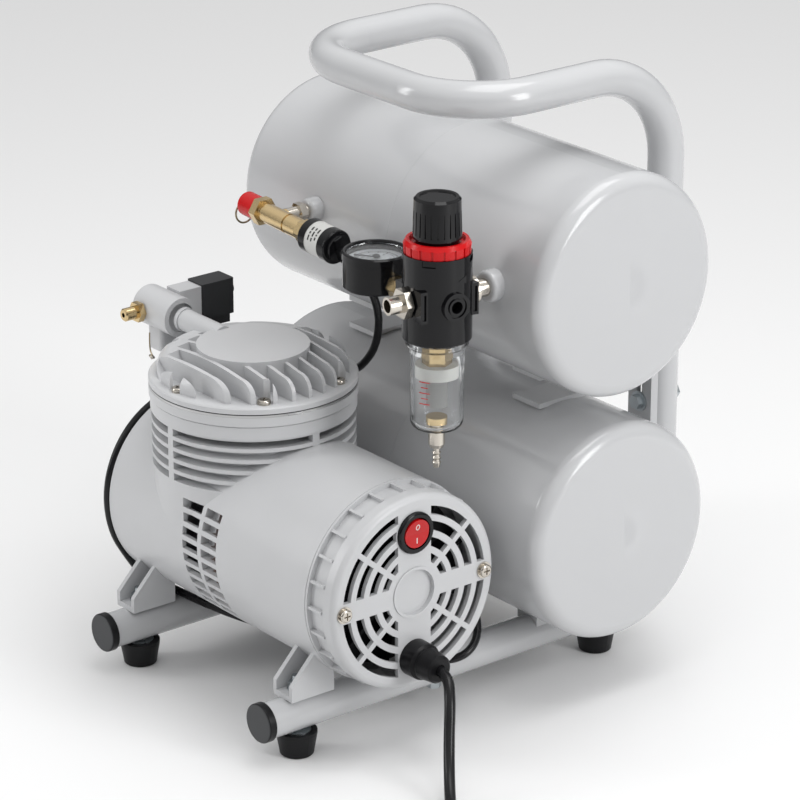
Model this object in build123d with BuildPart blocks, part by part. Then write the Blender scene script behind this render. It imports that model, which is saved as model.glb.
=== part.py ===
from build123d import *
import os
from math import cos, pi, radians, sin, sqrt, tan

# Airbrush compressor with twin air tanks. Millimetres, +X towards the fan end of the motor,
# -Y the motor side, +Z up. The origin is under the middle of the machine, on the floor.

# ---------------------------------------------------------------- driving dimensions
# tubular frame
TUBE_OD = 22.0
TUBE_WALL = 1.5
FRAME_MID_X = 3.6
RAIL_HALF = 79.7
RAIL_Z = 26.8
RAIL_FRONT_Y = -154.5
UPRIGHT_Y = 148.35
HANDLE_Z = 367.3
HANDLE_Y = -8.3
BACK_BEND = 58.0
CORNER_BEND = 48.0
CAP_R = 12.0
CAP_T = 5.0
FOOT_FRONT_Y = -131.7
FOOT_BACK_Y = 99.7
FOOT_R = 10.2
FOOT_TOP_R = 12.2
FOOT_H = 15.2

# air tanks
TANK_R = 67.6
TANK_HALF = 143.4
TANK_CROWN = 1.6
TANK_KNUCKLE = 9.0
TANK_WALL = 2.0
TANK_Y = 66.0
LOWER_Z = 106.2
UPPER_Z = 260.2
SEAM_X = 3.6
SEAM_STEP = 0.9

# motor
MOTOR_Y = -74.9
MOTOR_Z = 100.0
CASING_R = 61.8
CASING_WALL = 3.0
CASING_X0 = -97.6
SEAM_FAN_X = 98.6
COVER_X1 = 122.0
COVER_R = 59.6
SHAFT_R = 5.0
THROW = 8.0
LUG_BACK_Y = -28.9

# cylinder
HEAD_X = -31.7
BARREL_R = 61.4
BARREL_TOP = 170.5
GASKET_Z = 186.2
GASKET_T = 0.6
HEAD_R = 62.8
HEAD_FLANGE_TOP = 190.6
DISC_R = 34.0
DISC_Z = 208.6
FIN_PITCH = 11.0
FIN_T = 2.3
LINER_R = 24.0
HEAD_SCREW_CIRCLE = 54.7

# air fittings on the upper tank
REG_X, REG_Y = 98.6, -39.9
REG_TURN = -8.0
REG_R = 20.2
PORT_Z = 266.0
GAUGE_ARM = 69.0
GAUGE_R = 20.0
GAUGE_Z0, GAUGE_Z1 = 251.5, 274.0
VALVE_X, VALVE_Y, VALVE_Z = -66.4, -29.9, 268.2
VALVE_TILT = 3.0

# mains lead
CORD_D = 6.6
CORD_LENGTH = 1800.0
LEAD_D = 5.0

GAP = 0.3
LEFT_X = FRAME_MID_X - RAIL_HALF
RIGHT_X = FRAME_MID_X + RAIL_HALF
RAILS = (LEFT_X, RIGHT_X)
TUBE_R = TUBE_OD / 2
RAIL_TOP = RAIL_Z + TUBE_R
RAIL_BOTTOM = RAIL_Z - TUBE_R


def write(piece, name):
    """Labels a finished piece and writes its STEP file."""
    piece.part.label = name
    export_step(piece.part, f"parts/{name}.step")


def upright(x, y, z):
    """A plane facing up, at this place."""
    return Plane(origin=(x, y, z), x_dir=(1, 0, 0), z_dir=(0, 0, 1))


def facing_x(x, y, z):
    """A plane facing +X, with its own x along +Y and its own y along +Z."""
    return Plane(origin=(x, y, z), x_dir=(0, 1, 0), z_dir=(1, 0, 0))


def side_section(y, z=0.0):
    """The XZ plane at this y: its own x is +X and its own y is +Z."""
    return Plane(origin=(0, y, z), x_dir=(1, 0, 0), z_dir=(0, -1, 0))


def about_motor(angle, x, radius=0.0):
    """A plane at this x whose z points outwards from the motor axis at this angle from -Y, upwards."""
    a = radians(angle)
    out = Vector(0, -cos(a), sin(a))
    place = Vector(x, MOTOR_Y, MOTOR_Z) + out * radius
    return Plane(origin=place, x_dir=(1, 0, 0), z_dir=out)


def regulator_side(angle, distance, z):
    """A plane that faces outwards from the regulator's upright axis, at this turn from +X."""
    a = radians(angle + REG_TURN)
    out = Vector(cos(a), sin(a), 0)
    place = Vector(REG_X, REG_Y, z) + out * distance
    return Plane(origin=place, x_dir=(-sin(a), cos(a), 0), z_dir=out)


def valve_station(along):
    """A plane across the safety valve's axis, facing the switch, this far from the tee."""
    a = radians(VALVE_TILT)
    way = Vector(cos(a), 0, -sin(a))
    return Plane(origin=Vector(VALVE_X, VALVE_Y, VALVE_Z) + way * along, x_dir=(0, 1, 0), z_dir=way)


def corner_radii(points, share=0.45):
    """The largest tangent arc that each corner of a route leaves room for."""
    radii = []
    for before, corner, after in zip(points, points[1:], points[2:]):
        a, b = Vector(*corner) - Vector(*before), Vector(*after) - Vector(*corner)
        turn = radians(a.get_angle(b))
        radii.append(share * min(a.length, b.length) / tan(turn / 2))
    return radii


def route_length(points, radii):
    """Length of the straight runs and tangent arcs of a route."""
    total = sum((Vector(*b) - Vector(*a)).length for a, b in zip(points, points[1:]))
    for before, corner, after, r in zip(points, points[1:], points[2:], radii):
        a, b = Vector(*corner) - Vector(*before), Vector(*after) - Vector(*corner)
        turn = radians(a.get_angle(b))
        total -= r * (2 * tan(turn / 2) - turn)
    return total


os.makedirs("parts", exist_ok=True)

# ---------------------------------------------------------------- frame
# One bent tube: front of a rail, back under the tanks, up behind them and over as the handle.
frame_points = [
    (LEFT_X, RAIL_FRONT_Y, RAIL_Z),
    (LEFT_X, UPRIGHT_Y, RAIL_Z),
    (LEFT_X, UPRIGHT_Y, HANDLE_Z),
    (LEFT_X, HANDLE_Y, HANDLE_Z),
    (RIGHT_X, HANDLE_Y, HANDLE_Z),
    (RIGHT_X, UPRIGHT_Y, HANDLE_Z),
    (RIGHT_X, UPRIGHT_Y, RAIL_Z),
    (RIGHT_X, RAIL_FRONT_Y, RAIL_Z),
]
frame_bends = [BACK_BEND, BACK_BEND, CORNER_BEND, CORNER_BEND, BACK_BEND, BACK_BEND]
BOLT_R = 2.5
BOLT_HOLE_R = 2.8
BOLT_YS = (FOOT_FRONT_Y, LUG_BACK_Y, FOOT_BACK_Y)
BRACKET_MIDS = (LEFT_X + 2.0, RIGHT_X - 2.0)
BRACKET_BOLT_Z = 155.3
with BuildPart() as frame_tube:
    with BuildLine() as tube_line:
        FilletPolyline(*frame_points, radius=frame_bends)
    with BuildSketch(Plane(origin=frame_points[0], z_dir=(0, 1, 0))):
        Circle(TUBE_R)
        Circle(TUBE_R - TUBE_WALL, mode=Mode.SUBTRACT)
    sweep(path=tube_line.line)
    with Locations(*[(x, y, RAIL_Z) for x in RAILS for y in BOLT_YS]):
        Cylinder(BOLT_HOLE_R, TUBE_OD + 4, mode=Mode.SUBTRACT)
    with BuildSketch(side_section(UPRIGHT_Y)):
        with Locations(*[(x, BRACKET_BOLT_Z) for x in BRACKET_MIDS]):
            Circle(BOLT_HOLE_R)
    extrude(amount=TUBE_OD, both=True, mode=Mode.SUBTRACT)
write(frame_tube, "frame_tube")

with BuildPart() as rail_end_caps:
    for x in RAILS:
        face = Plane(origin=(x, RAIL_FRONT_Y - CAP_T, RAIL_Z), x_dir=(1, 0, 0), z_dir=(0, -1, 0))
        with BuildSketch(face):
            Circle(CAP_R)
        extrude(amount=-CAP_T)
        with BuildSketch(face.offset(-CAP_T)):
            Circle(TUBE_R - TUBE_WALL - 0.05)
        extrude(amount=-12)
    rims = rail_end_caps.edges().filter_by(GeomType.CIRCLE).group_by(Axis.Y)[0]
    fillet(rims, radius=1.2)
write(rail_end_caps, "rail_end_caps")

# Each foot is a tapered rubber bush with a steel washer let into its top.
WASHER_R = 8.5
WASHER_T = 1.5
FOOT_COUNTERBORE = 4.0
foot_places = [(x, y) for x in RAILS for y in (FOOT_FRONT_Y, FOOT_BACK_Y)]
washer_z = RAIL_BOTTOM - WASHER_T - 0.05
with BuildPart() as rubber_feet:
    for x, y in foot_places:
        with BuildSketch(Plane(origin=(x, y, 0), x_dir=(1, 0, 0), z_dir=(0, -1, 0))):
            with BuildLine():
                Polyline(
                    (BOLT_HOLE_R, FOOT_COUNTERBORE), (5.5, FOOT_COUNTERBORE), (5.5, 0), (FOOT_R - 1.6, 0)
                )
                ThreePointArc((FOOT_R - 1.6, 0), (FOOT_R - 0.4, 0.5), (FOOT_R, 1.7))
                Polyline(
                    (FOOT_R, 1.7), (FOOT_TOP_R, FOOT_H - 2), (FOOT_TOP_R, FOOT_H),
                    (WASHER_R + 0.2, FOOT_H), (WASHER_R + 0.2, washer_z), (BOLT_HOLE_R, washer_z),
                    (BOLT_HOLE_R, FOOT_COUNTERBORE),
                )
            make_face()
        revolve(axis=Axis((x, y, 0), (0, 0, 1)))
write(rubber_feet, "rubber_feet")

with BuildPart() as foot_screws:
    for x, y in foot_places:
        with BuildSketch(upright(x, y, washer_z)):
            Circle(WASHER_R)
            Circle(BOLT_HOLE_R, mode=Mode.SUBTRACT)
        extrude(amount=WASHER_T)
        if y == FOOT_BACK_Y:
            with BuildSketch(upright(x, y, 1.4)):
                Circle(4.6)
            extrude(amount=FOOT_COUNTERBORE - 1.4)
            with BuildSketch(upright(x, y, FOOT_COUNTERBORE)):
                Circle(BOLT_R)
            extrude(amount=RAIL_Z - FOOT_COUNTERBORE)
write(foot_screws, "foot_screws")

# ---------------------------------------------------------------- air tanks


def vessel_body(z, radius, half, knuckle, step):
    """A closed round body along X with crowned ends; step makes its left half slimmer by a lap seam."""
    small = radius - step
    crown_r = (radius**2 + TANK_CROWN**2) / (2 * TANK_CROWN)
    crown_mid = crown_r - sqrt(crown_r**2 - radius**2 / 4)
    with BuildPart() as body:
        with BuildSketch(side_section(TANK_Y, z)) as profile:
            with BuildLine():
                ThreePointArc(
                    (-half - TANK_CROWN, 0), (-half - TANK_CROWN + crown_mid, small / 2), (-half, small)
                )
                Polyline((-half, small), (SEAM_X - 0.6, small), (SEAM_X, radius), (half, radius))
                ThreePointArc(
                    (half, radius), (half + TANK_CROWN - crown_mid, radius / 2), (half + TANK_CROWN, 0)
                )
                Line((half + TANK_CROWN, 0), (-half - TANK_CROWN, 0))
            make_face()
            corners = profile.vertices().sort_by(Axis.X)
            fillet((corners[1], corners[-2]), radius=knuckle)
        revolve(axis=Axis((0, TANK_Y, z), (1, 0, 0)))
    return body.part


def tank(z):
    """A pressure vessel: the round body less its hollow."""
    outer = vessel_body(z, TANK_R, TANK_HALF, TANK_KNUCKLE, SEAM_STEP)
    hollow = vessel_body(
        z, TANK_R - TANK_WALL, TANK_HALF - TANK_WALL, TANK_KNUCKLE - TANK_WALL, SEAM_STEP
    )
    with BuildPart() as vessel:
        add(outer)
        add(hollow, mode=Mode.SUBTRACT)
    return vessel.part


BOSS_R = 9.5
boss_front = -8.5
with BuildPart() as upper_tank:
    add(tank(UPPER_Z))
    reg_in = radians(90 + REG_TURN)
    reg_boss_x = REG_X + (boss_front - REG_Y) / tan(reg_in)
    for x, z, radius in ((reg_boss_x, PORT_Z, BOSS_R), (VALVE_X, VALVE_Z, 7.5)):
        with BuildSketch(Plane(origin=(x, boss_front, z), x_dir=(1, 0, 0), z_dir=(0, 1, 0))):
            Circle(radius)
        extrude(amount=9)
        tip = upper_tank.edges().filter_by(GeomType.CIRCLE).sort_by(Axis.Y)[0]
        fillet(tip, radius=2.5)
        with Locations(Plane(origin=(x, boss_front, z), x_dir=(1, 0, 0), z_dir=(0, -1, 0))):
            Hole(4.0, depth=14)
write(upper_tank, "upper_tank")

LINK_X = -42.0
INLET_X = -106.0
INLET_ANGLE = 20.0
DRAIN_X = -10.0
with BuildPart() as lower_tank:
    add(tank(LOWER_Z))
    drain_z = LOWER_Z - TANK_R
    with BuildSketch(upright(DRAIN_X, TANK_Y, drain_z - 4)):
        Circle(8)
    extrude(amount=5)
    with Locations(upright(DRAIN_X, TANK_Y, drain_z - 4)):
        Cylinder(4.0, 16, mode=Mode.SUBTRACT)
write(lower_tank, "lower_tank")

# Flat cradle plates between the tanks, welded to both, and the uprights' mounting plates.
PLATE_W = 24.6
PLATE_T = 3.2
PLATE_Y0 = 47.5
PLATE_Y1 = 133.5
plate_mids = (75.4, -83.6)
lower_plate_z = LOWER_Z + TANK_R - 1.2
upper_plate_z = UPPER_Z - TANK_R + 1.2 - PLATE_T


def tank_core(z, clearance):
    """The tank's outer cylinder with a little clearance, to cut a piece that sits against it."""
    with BuildPart() as core:
        with BuildSketch(facing_x(-TANK_HALF, TANK_Y, z)):
            Circle(TANK_R + clearance)
        extrude(amount=2 * TANK_HALF)
    return core.part


lower_core = tank_core(LOWER_Z, 0.05)
upper_core = tank_core(UPPER_Z, 0.05)
with BuildPart() as tank_saddles:
    for mid in plate_mids:
        for z in (lower_plate_z, upper_plate_z):
            with BuildSketch(upright(mid, (PLATE_Y0 + PLATE_Y1) / 2, z)):
                Rectangle(PLATE_W, PLATE_Y1 - PLATE_Y0)
            extrude(amount=PLATE_T)
    # short cradles between the rails and the lower tank
    for x in RAILS:
        with BuildSketch(upright(x, TANK_Y, RAIL_Z)):
            Rectangle(18, 44)
        extrude(amount=TUBE_OD)
        with BuildSketch(Plane(origin=(x, TANK_Y, RAIL_Z), z_dir=(0, 1, 0))):
            Circle(TUBE_R + 0.05)
        extrude(amount=30, both=True, mode=Mode.SUBTRACT)
    add(lower_core, mode=Mode.SUBTRACT)
    add(upper_core, mode=Mode.SUBTRACT)
write(tank_saddles, "tank_saddles")

BRACKET_W = 20.5
BRACKET_T = 3.4
BRACKET_Z0, BRACKET_Z1 = 98.0, 268.0
bracket_y0 = UPRIGHT_Y - TUBE_R - BRACKET_T - 0.05
with BuildPart() as rear_brackets:
    for mid in BRACKET_MIDS:
        plate_face = Plane(
            origin=(mid, bracket_y0, (BRACKET_Z0 + BRACKET_Z1) / 2), x_dir=(1, 0, 0), z_dir=(0, -1, 0)
        )
        with BuildSketch(plate_face):
            RectangleRounded(BRACKET_W, BRACKET_Z1 - BRACKET_Z0, 2)
            with Locations((0, BRACKET_BOLT_Z - (BRACKET_Z0 + BRACKET_Z1) / 2 + 5)):
                SlotOverall(18, 2 * BOLT_HOLE_R, rotation=90, mode=Mode.SUBTRACT)
        extrude(amount=-BRACKET_T)
        # a rim along the plate's edges keeps it from bending
        with BuildSketch(plate_face.offset(-BRACKET_T)):
            with Locations((BRACKET_W / 2 - 1, 0), (-BRACKET_W / 2 + 1, 0)):
                Rectangle(2, BRACKET_Z1 - BRACKET_Z0 - 8)
        extrude(amount=-2)
    with BuildSketch(Plane.XY):
        for x in RAILS:
            with Locations((x, UPRIGHT_Y)):
                Circle(TUBE_R + 0.05)
    extrude(amount=HANDLE_Z, mode=Mode.SUBTRACT)
    add(lower_core, mode=Mode.SUBTRACT)
    add(upper_core, mode=Mode.SUBTRACT)
write(rear_brackets, "rear_brackets")

# ---------------------------------------------------------------- motor and crankcase
# The casing is one casting: round body, upright barrel with air slots, and four feet.
VENT_ROWS = 9
VENT_TOP_ANGLE = 22.5
VENT_STEP = 7.9
VENT_H = 5.4
VENT_W = 15.0
VENT_MIDS = (-13.85, 4.75)
SLOT_LEVELS = 5
SLOT_H = 4.6
SLOT_PITCH = 7.0
RIB_W = 5.0
LUG_W = 18.0
LUG_BASE_T = 3.4
LUG_WALL = 3.0
LUG_END = 9.8
BEARING_R = 11.0
WEB_X0, WEB_X1 = -5.0, 3.0

lug_spots = []
for rail_x in RAILS:
    lug_spots.append((rail_x, FOOT_FRONT_Y, -1))
    lug_spots.append((rail_x, LUG_BACK_Y, 1))

with BuildPart() as casing_bore:
    with BuildSketch(facing_x(CASING_X0 - 1, MOTOR_Y, MOTOR_Z)):
        Circle(CASING_R - CASING_WALL)
    extrude(amount=SEAM_FAN_X - CASING_X0 + 2)

with BuildPart() as motor_solid:
    with BuildSketch(facing_x(CASING_X0, MOTOR_Y, MOTOR_Z)):
        Circle(CASING_R)
    extrude(amount=SEAM_FAN_X - CASING_X0)

with BuildPart() as slot_tool:
    for level in range(SLOT_LEVELS):
        z = BARREL_TOP - 1.2 - SLOT_H - level * SLOT_PITCH
        with BuildSketch(upright(HEAD_X, MOTOR_Y, z)):
            Circle(BARREL_R + 2)
            Circle(BARREL_R - 8, mode=Mode.SUBTRACT)
            Rectangle(4 * BARREL_R, RIB_W, mode=Mode.SUBTRACT)
            Rectangle(RIB_W, 4 * BARREL_R, mode=Mode.SUBTRACT)
        extrude(amount=SLOT_H)
    add(motor_solid.part, mode=Mode.SUBTRACT)

LUG_ROOT = 36.0
LUG_POCKET_ROOT = 39.0
with BuildPart() as motor_casing:
    # feet: a floor plate on the rail with two upright walls running into the round body
    for x, y, side in lug_spots:
        y_end = y + side * LUG_END
        y_root = MOTOR_Y + side * LUG_ROOT
        with BuildSketch(Plane(origin=(x - LUG_W / 2, 0, 0), x_dir=(0, 1, 0), z_dir=(1, 0, 0))):
            Polygon(
                (y_end, RAIL_TOP), (y_end, RAIL_TOP + 9.5), (MOTOR_Y + side * 50, RAIL_TOP + 27),
                (y_root, RAIL_TOP + 27), (y_root, RAIL_TOP), align=None,
            )
        extrude(amount=LUG_W)
    for x, y, side in lug_spots:
        y_end = y + side * (LUG_END + 1)
        y_root = MOTOR_Y + side * LUG_POCKET_ROOT
        with BuildSketch(upright(x, (y_end + y_root) / 2, RAIL_TOP + LUG_BASE_T)):
            Rectangle(LUG_W - 2 * LUG_WALL, abs(y_end - y_root))
        extrude(amount=40, mode=Mode.SUBTRACT)
    add(motor_solid.part)
    with BuildSketch(upright(HEAD_X, MOTOR_Y, MOTOR_Z)):
        Circle(BARREL_R)
    extrude(amount=BARREL_TOP - MOTOR_Z)
    add(casing_bore.part, mode=Mode.SUBTRACT)
    # barrel bore, down to a plate that keeps the oil mist in, and the rod's opening
    with BuildSketch(upright(HEAD_X, MOTOR_Y, MOTOR_Z + CASING_R + 1.5)):
        Circle(BARREL_R - 4)
    extrude(amount=60, mode=Mode.SUBTRACT)
    with BuildSketch(upright(HEAD_X, MOTOR_Y, MOTOR_Z + 20)):
        Circle(26)
    extrude(amount=70, mode=Mode.SUBTRACT)
    add(slot_tool.part, mode=Mode.SUBTRACT)
    # bearing web between crankcase and motor
    with BuildSketch(facing_x(WEB_X0, MOTOR_Y, MOTOR_Z)):
        Circle(CASING_R - 1)
        Circle(BEARING_R, mode=Mode.SUBTRACT)
        with PolarLocations(38, 6):
            Circle(9, mode=Mode.SUBTRACT)
    extrude(amount=WEB_X1 - WEB_X0)
    for row in range(VENT_ROWS):
        for mid in VENT_MIDS:
            with BuildSketch(about_motor(VENT_TOP_ANGLE - row * VENT_STEP, mid, CASING_R - 6)):
                Rectangle(VENT_W, VENT_H)
            extrude(amount=12, mode=Mode.SUBTRACT)
    for x, y, side in lug_spots:
        with Locations((x, y, RAIL_TOP)):
            Cylinder(BOLT_HOLE_R, 12, mode=Mode.SUBTRACT)
write(motor_casing, "motor_casing")

# Rear plate closes the crankcase, flush inside the casing's edge.
with BuildPart() as rear_cover:
    with BuildSketch(facing_x(CASING_X0, MOTOR_Y, MOTOR_Z)):
        Circle(CASING_R - CASING_WALL - 0.1)
    extrude(amount=5)
    outer = rear_cover.edges().filter_by(GeomType.CIRCLE).sort_by(Axis.X)[0]
    fillet(outer, radius=1.5)
    with BuildSketch(facing_x(CASING_X0, MOTOR_Y, MOTOR_Z)):
        Circle(24)
        Circle(20, mode=Mode.SUBTRACT)
        with PolarLocations(46, 4, start_angle=45):
            Circle(3.2)
    extrude(amount=1.5, mode=Mode.SUBTRACT)
write(rear_cover, "rear_cover")

# Fan cover: ribbed ring behind a flat grille of ringed slots.
RING_RIBS = 24
POCKET_R = 58.4
COVER_WALL = 3.0
GRILLE_T = 3.0
GRILLE_RINGS = ((19.8, 24.4), (28.2, 33.6), (37.6, 43.1), (46.9, 52.2))
SPOKE_W = 3.2
SPOKE_ANGLE = 40.0
BAND_HALF_Y = 12.0
BAND_HALF_Z = 6.2
HUB_R = 15.6
HUB_RECESS_R = 14.0
HUB_RECESS = 3.0
SCREW_OFFSET = 51.4
SWITCH_UP = 37.3
RELIEF_DOWN = 41.0
with BuildPart() as fan_cover:
    with BuildSketch(Plane(origin=(0, MOTOR_Y, MOTOR_Z), x_dir=(1, 0, 0), z_dir=(0, -1, 0))):
        with BuildLine():
            Polyline(
                (SEAM_FAN_X + 0.1, POCKET_R - COVER_WALL), (SEAM_FAN_X + 0.1, CASING_R - 0.3),
                (SEAM_FAN_X + 1.8, CASING_R - 0.3), (SEAM_FAN_X + 1.8, POCKET_R),
                (SEAM_FAN_X + 13.5, POCKET_R), (SEAM_FAN_X + 14.5, COVER_R + 0.4),
                (COVER_X1 - 3.5, COVER_R),
            )
            ThreePointArc(
                (COVER_X1 - 3.5, COVER_R), (COVER_X1 - 1.1, COVER_R - 1.1), (COVER_X1, COVER_R - 3.5)
            )
            Polyline(
                (COVER_X1, COVER_R - 3.5), (COVER_X1, 0), (COVER_X1 - GRILLE_T, 0),
                (COVER_X1 - GRILLE_T, COVER_R - 4), (COVER_X1 - GRILLE_T - 3, POCKET_R - COVER_WALL),
                (SEAM_FAN_X + 0.1, POCKET_R - COVER_WALL),
            )
        make_face()
    revolve(axis=Axis((0, MOTOR_Y, MOTOR_Z), (1, 0, 0)))
    for rib in range(RING_RIBS):
        angle = rib * 360 / RING_RIBS
        with BuildSketch(about_motor(angle, SEAM_FAN_X + 7.5, POCKET_R - 1.5)):
            Rectangle(13, 1.7)
        extrude(amount=CASING_R - POCKET_R + 0.6)
    # hub ring and its shallow recess
    with BuildSketch(facing_x(COVER_X1, MOTOR_Y, MOTOR_Z)):
        Circle(HUB_R)
    extrude(amount=0.8)
    with BuildSketch(facing_x(COVER_X1 - GRILLE_T - 1, MOTOR_Y, MOTOR_Z)):
        Circle(HUB_R)
    extrude(amount=2)
    with BuildSketch(facing_x(COVER_X1 + 0.8, MOTOR_Y, MOTOR_Z)):
        Circle(HUB_RECESS_R)
    extrude(amount=-HUB_RECESS, mode=Mode.SUBTRACT)
    # slots between four rings, cut apart by the bands and spokes
    with BuildSketch(facing_x(COVER_X1 + 1, MOTOR_Y, MOTOR_Z)):
        for inner, outer_r in reversed(GRILLE_RINGS):
            Circle(outer_r)
            Circle(inner, mode=Mode.SUBTRACT)
        Rectangle(2 * BAND_HALF_Y, 2 * COVER_R, mode=Mode.SUBTRACT)
        Rectangle(2 * COVER_R, 2 * BAND_HALF_Z, mode=Mode.SUBTRACT)
        for angle in (SPOKE_ANGLE, 180 - SPOKE_ANGLE):
            Rectangle(2 * COVER_R, SPOKE_W, rotation=angle, mode=Mode.SUBTRACT)
        with Locations((0, SWITCH_UP)):
            Circle(13.4, mode=Mode.SUBTRACT)
    extrude(amount=-GRILLE_T - 3, mode=Mode.SUBTRACT)
    # holes for the switch, the lead's gland and the two screws
    with BuildSketch(facing_x(COVER_X1 + 1, MOTOR_Y, MOTOR_Z)):
        with Locations((0, SWITCH_UP)):
            Circle(10.6)
        with Locations((0, -RELIEF_DOWN)):
            Circle(7.2)
        with Locations((SCREW_OFFSET, 0), (-SCREW_OFFSET, 0)):
            Circle(2.2)
    extrude(amount=-GRILLE_T - 3, mode=Mode.SUBTRACT)
write(fan_cover, "fan_cover")


def pan_screw(plane, head_r, head_h, shank_r, shank_l, turn=0.0):
    """A cross-head pan screw whose head stands on this plane."""
    with BuildPart() as screw:
        with BuildSketch(plane):
            Circle(head_r)
        extrude(amount=head_h)
        top = screw.faces().sort_by(lambda f: (f.center() - plane.origin).dot(plane.z_dir))[-1]
        fillet(top.edges(), radius=0.4 * head_h)
        with BuildSketch(plane):
            Circle(shank_r)
        extrude(amount=-shank_l)
        with BuildSketch(plane.offset(head_h + 0.1)):
            Rectangle(1.15 * head_r, 0.9, rotation=turn)
            Rectangle(0.9, 1.15 * head_r, rotation=turn)
        extrude(amount=-1.4, mode=Mode.SUBTRACT)
    return screw.part


screw_seats = [
    facing_x(COVER_X1 + 0.05, MOTOR_Y + side * SCREW_OFFSET, MOTOR_Z) for side in (-1, 1)
]
cover_screws = [pan_screw(seat.offset(0.9), 3.9, 2.4, 2.0, 12) for seat in screw_seats]
with BuildPart() as fan_cover_screws:
    for seat in screw_seats:
        with BuildSketch(seat):
            Circle(5.0)
            Circle(2.2, mode=Mode.SUBTRACT)
        extrude(amount=0.9)
    add(cover_screws)
write(fan_cover_screws, "fan_cover_screws")

# Fan-end bearing plate, stator, bearings.
PLATE_X0, PLATE_X1 = 86.0, 92.0
STATOR_X0, STATOR_X1 = 18.0, 72.0
ROTOR_R = 30.0
AIR_GAP = 0.5
with BuildPart() as bearing_plate:
    with BuildSketch(facing_x(PLATE_X0, MOTOR_Y, MOTOR_Z)):
        Circle(CASING_R - CASING_WALL - 0.1)
        Circle(BEARING_R, mode=Mode.SUBTRACT)
        with PolarLocations(38, 5):
            Circle(13, mode=Mode.SUBTRACT)
    extrude(amount=PLATE_X1 - PLATE_X0)
write(bearing_plate, "bearing_plate")

with BuildPart() as stator:
    with BuildSketch(facing_x(STATOR_X0, MOTOR_Y, MOTOR_Z)):
        Circle(CASING_R - CASING_WALL - 0.1)
        with PolarLocations(CASING_R - CASING_WALL, 4, start_angle=45):
            Circle(11, mode=Mode.SUBTRACT)
        Circle(ROTOR_R + AIR_GAP, mode=Mode.SUBTRACT)
    extrude(amount=STATOR_X1 - STATOR_X0)
    for x, way in ((STATOR_X0, -1), (STATOR_X1, 1)):
        with BuildSketch(facing_x(x, MOTOR_Y, MOTOR_Z)):
            Circle(47)
            Circle(34, mode=Mode.SUBTRACT)
        extrude(amount=way * 10)
        crown = stator.edges().filter_by(GeomType.CIRCLE).sort_by(Axis.X)
        fillet(crown[:2] if way < 0 else crown[-2:], radius=3)
write(stator, "stator")

with BuildPart() as shaft_bearings:
    for x0, x1 in ((WEB_X0, WEB_X1), (PLATE_X0, PLATE_X1)):
        with BuildSketch(facing_x(x0, MOTOR_Y, MOTOR_Z)):
            Circle(BEARING_R - 0.02)
            Circle(SHAFT_R + 0.03, mode=Mode.SUBTRACT)
        extrude(amount=x1 - x0)
write(shaft_bearings, "shaft_bearings")

# Rotor: core on its shaft, crank disc at one end and fan at the other.
SHAFT_X0, SHAFT_X1 = -18.0, 112.0
CRANK_X0, CRANK_X1 = -24.0, -16.0
ROD_X0, ROD_X1 = HEAD_X - 4.0, HEAD_X + 4.0
FAN_X0, FAN_X1 = 96.5, 109.0
FAN_R = 51.0
with BuildPart() as motor_shaft:
    with BuildSketch(facing_x(SHAFT_X0, MOTOR_Y, MOTOR_Z)):
        Circle(SHAFT_R)
    extrude(amount=SHAFT_X1 - SHAFT_X0)
write(motor_shaft, "motor_shaft")

with BuildPart() as rotor_core:
    with BuildSketch(facing_x(STATOR_X0, MOTOR_Y, MOTOR_Z)):
        Circle(ROTOR_R)
        Circle(SHAFT_R, mode=Mode.SUBTRACT)
    extrude(amount=STATOR_X1 - STATOR_X0)
write(rotor_core, "rotor_core")

with BuildPart() as crank_disc:
    with BuildSketch(facing_x(CRANK_X0, MOTOR_Y, MOTOR_Z)):
        Circle(16)
        with Locations((0, -9)):
            Rectangle(34, 22)
    extrude(amount=CRANK_X1 - CRANK_X0)
    with BuildSketch(facing_x(CRANK_X0, MOTOR_Y, MOTOR_Z + THROW)):
        Circle(6)
    extrude(amount=ROD_X1 + GAP - CRANK_X0)
    with BuildSketch(facing_x(SHAFT_X0, MOTOR_Y, MOTOR_Z)):
        Circle(SHAFT_R)
    extrude(amount=CRANK_X1 - SHAFT_X0, mode=Mode.SUBTRACT)
write(crank_disc, "crank_disc")

with BuildPart() as cooling_fan:
    with BuildSketch(facing_x(FAN_X0, MOTOR_Y, MOTOR_Z)):
        Circle(14)
        Circle(SHAFT_R, mode=Mode.SUBTRACT)
    extrude(amount=FAN_X1 - FAN_X0)
    with BuildSketch(facing_x(FAN_X0, MOTOR_Y, MOTOR_Z)):
        Circle(FAN_R)
        Circle(13, mode=Mode.SUBTRACT)
    extrude(amount=1.6)
    for blade in range(9):
        with BuildSketch(about_motor(blade * 40, (FAN_X0 + FAN_X1) / 2, 12.5)):
            Rectangle(FAN_X1 - FAN_X0, 1.8, rotation=12)
        extrude(amount=FAN_R - 13.5)
    with BuildSketch(facing_x(FAN_X0 - 2, MOTOR_Y, MOTOR_Z)):
        Rectangle(2 * FAN_R + 20, 2 * FAN_R + 20)
    extrude(amount=2, mode=Mode.SUBTRACT)
write(cooling_fan, "cooling_fan")

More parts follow.
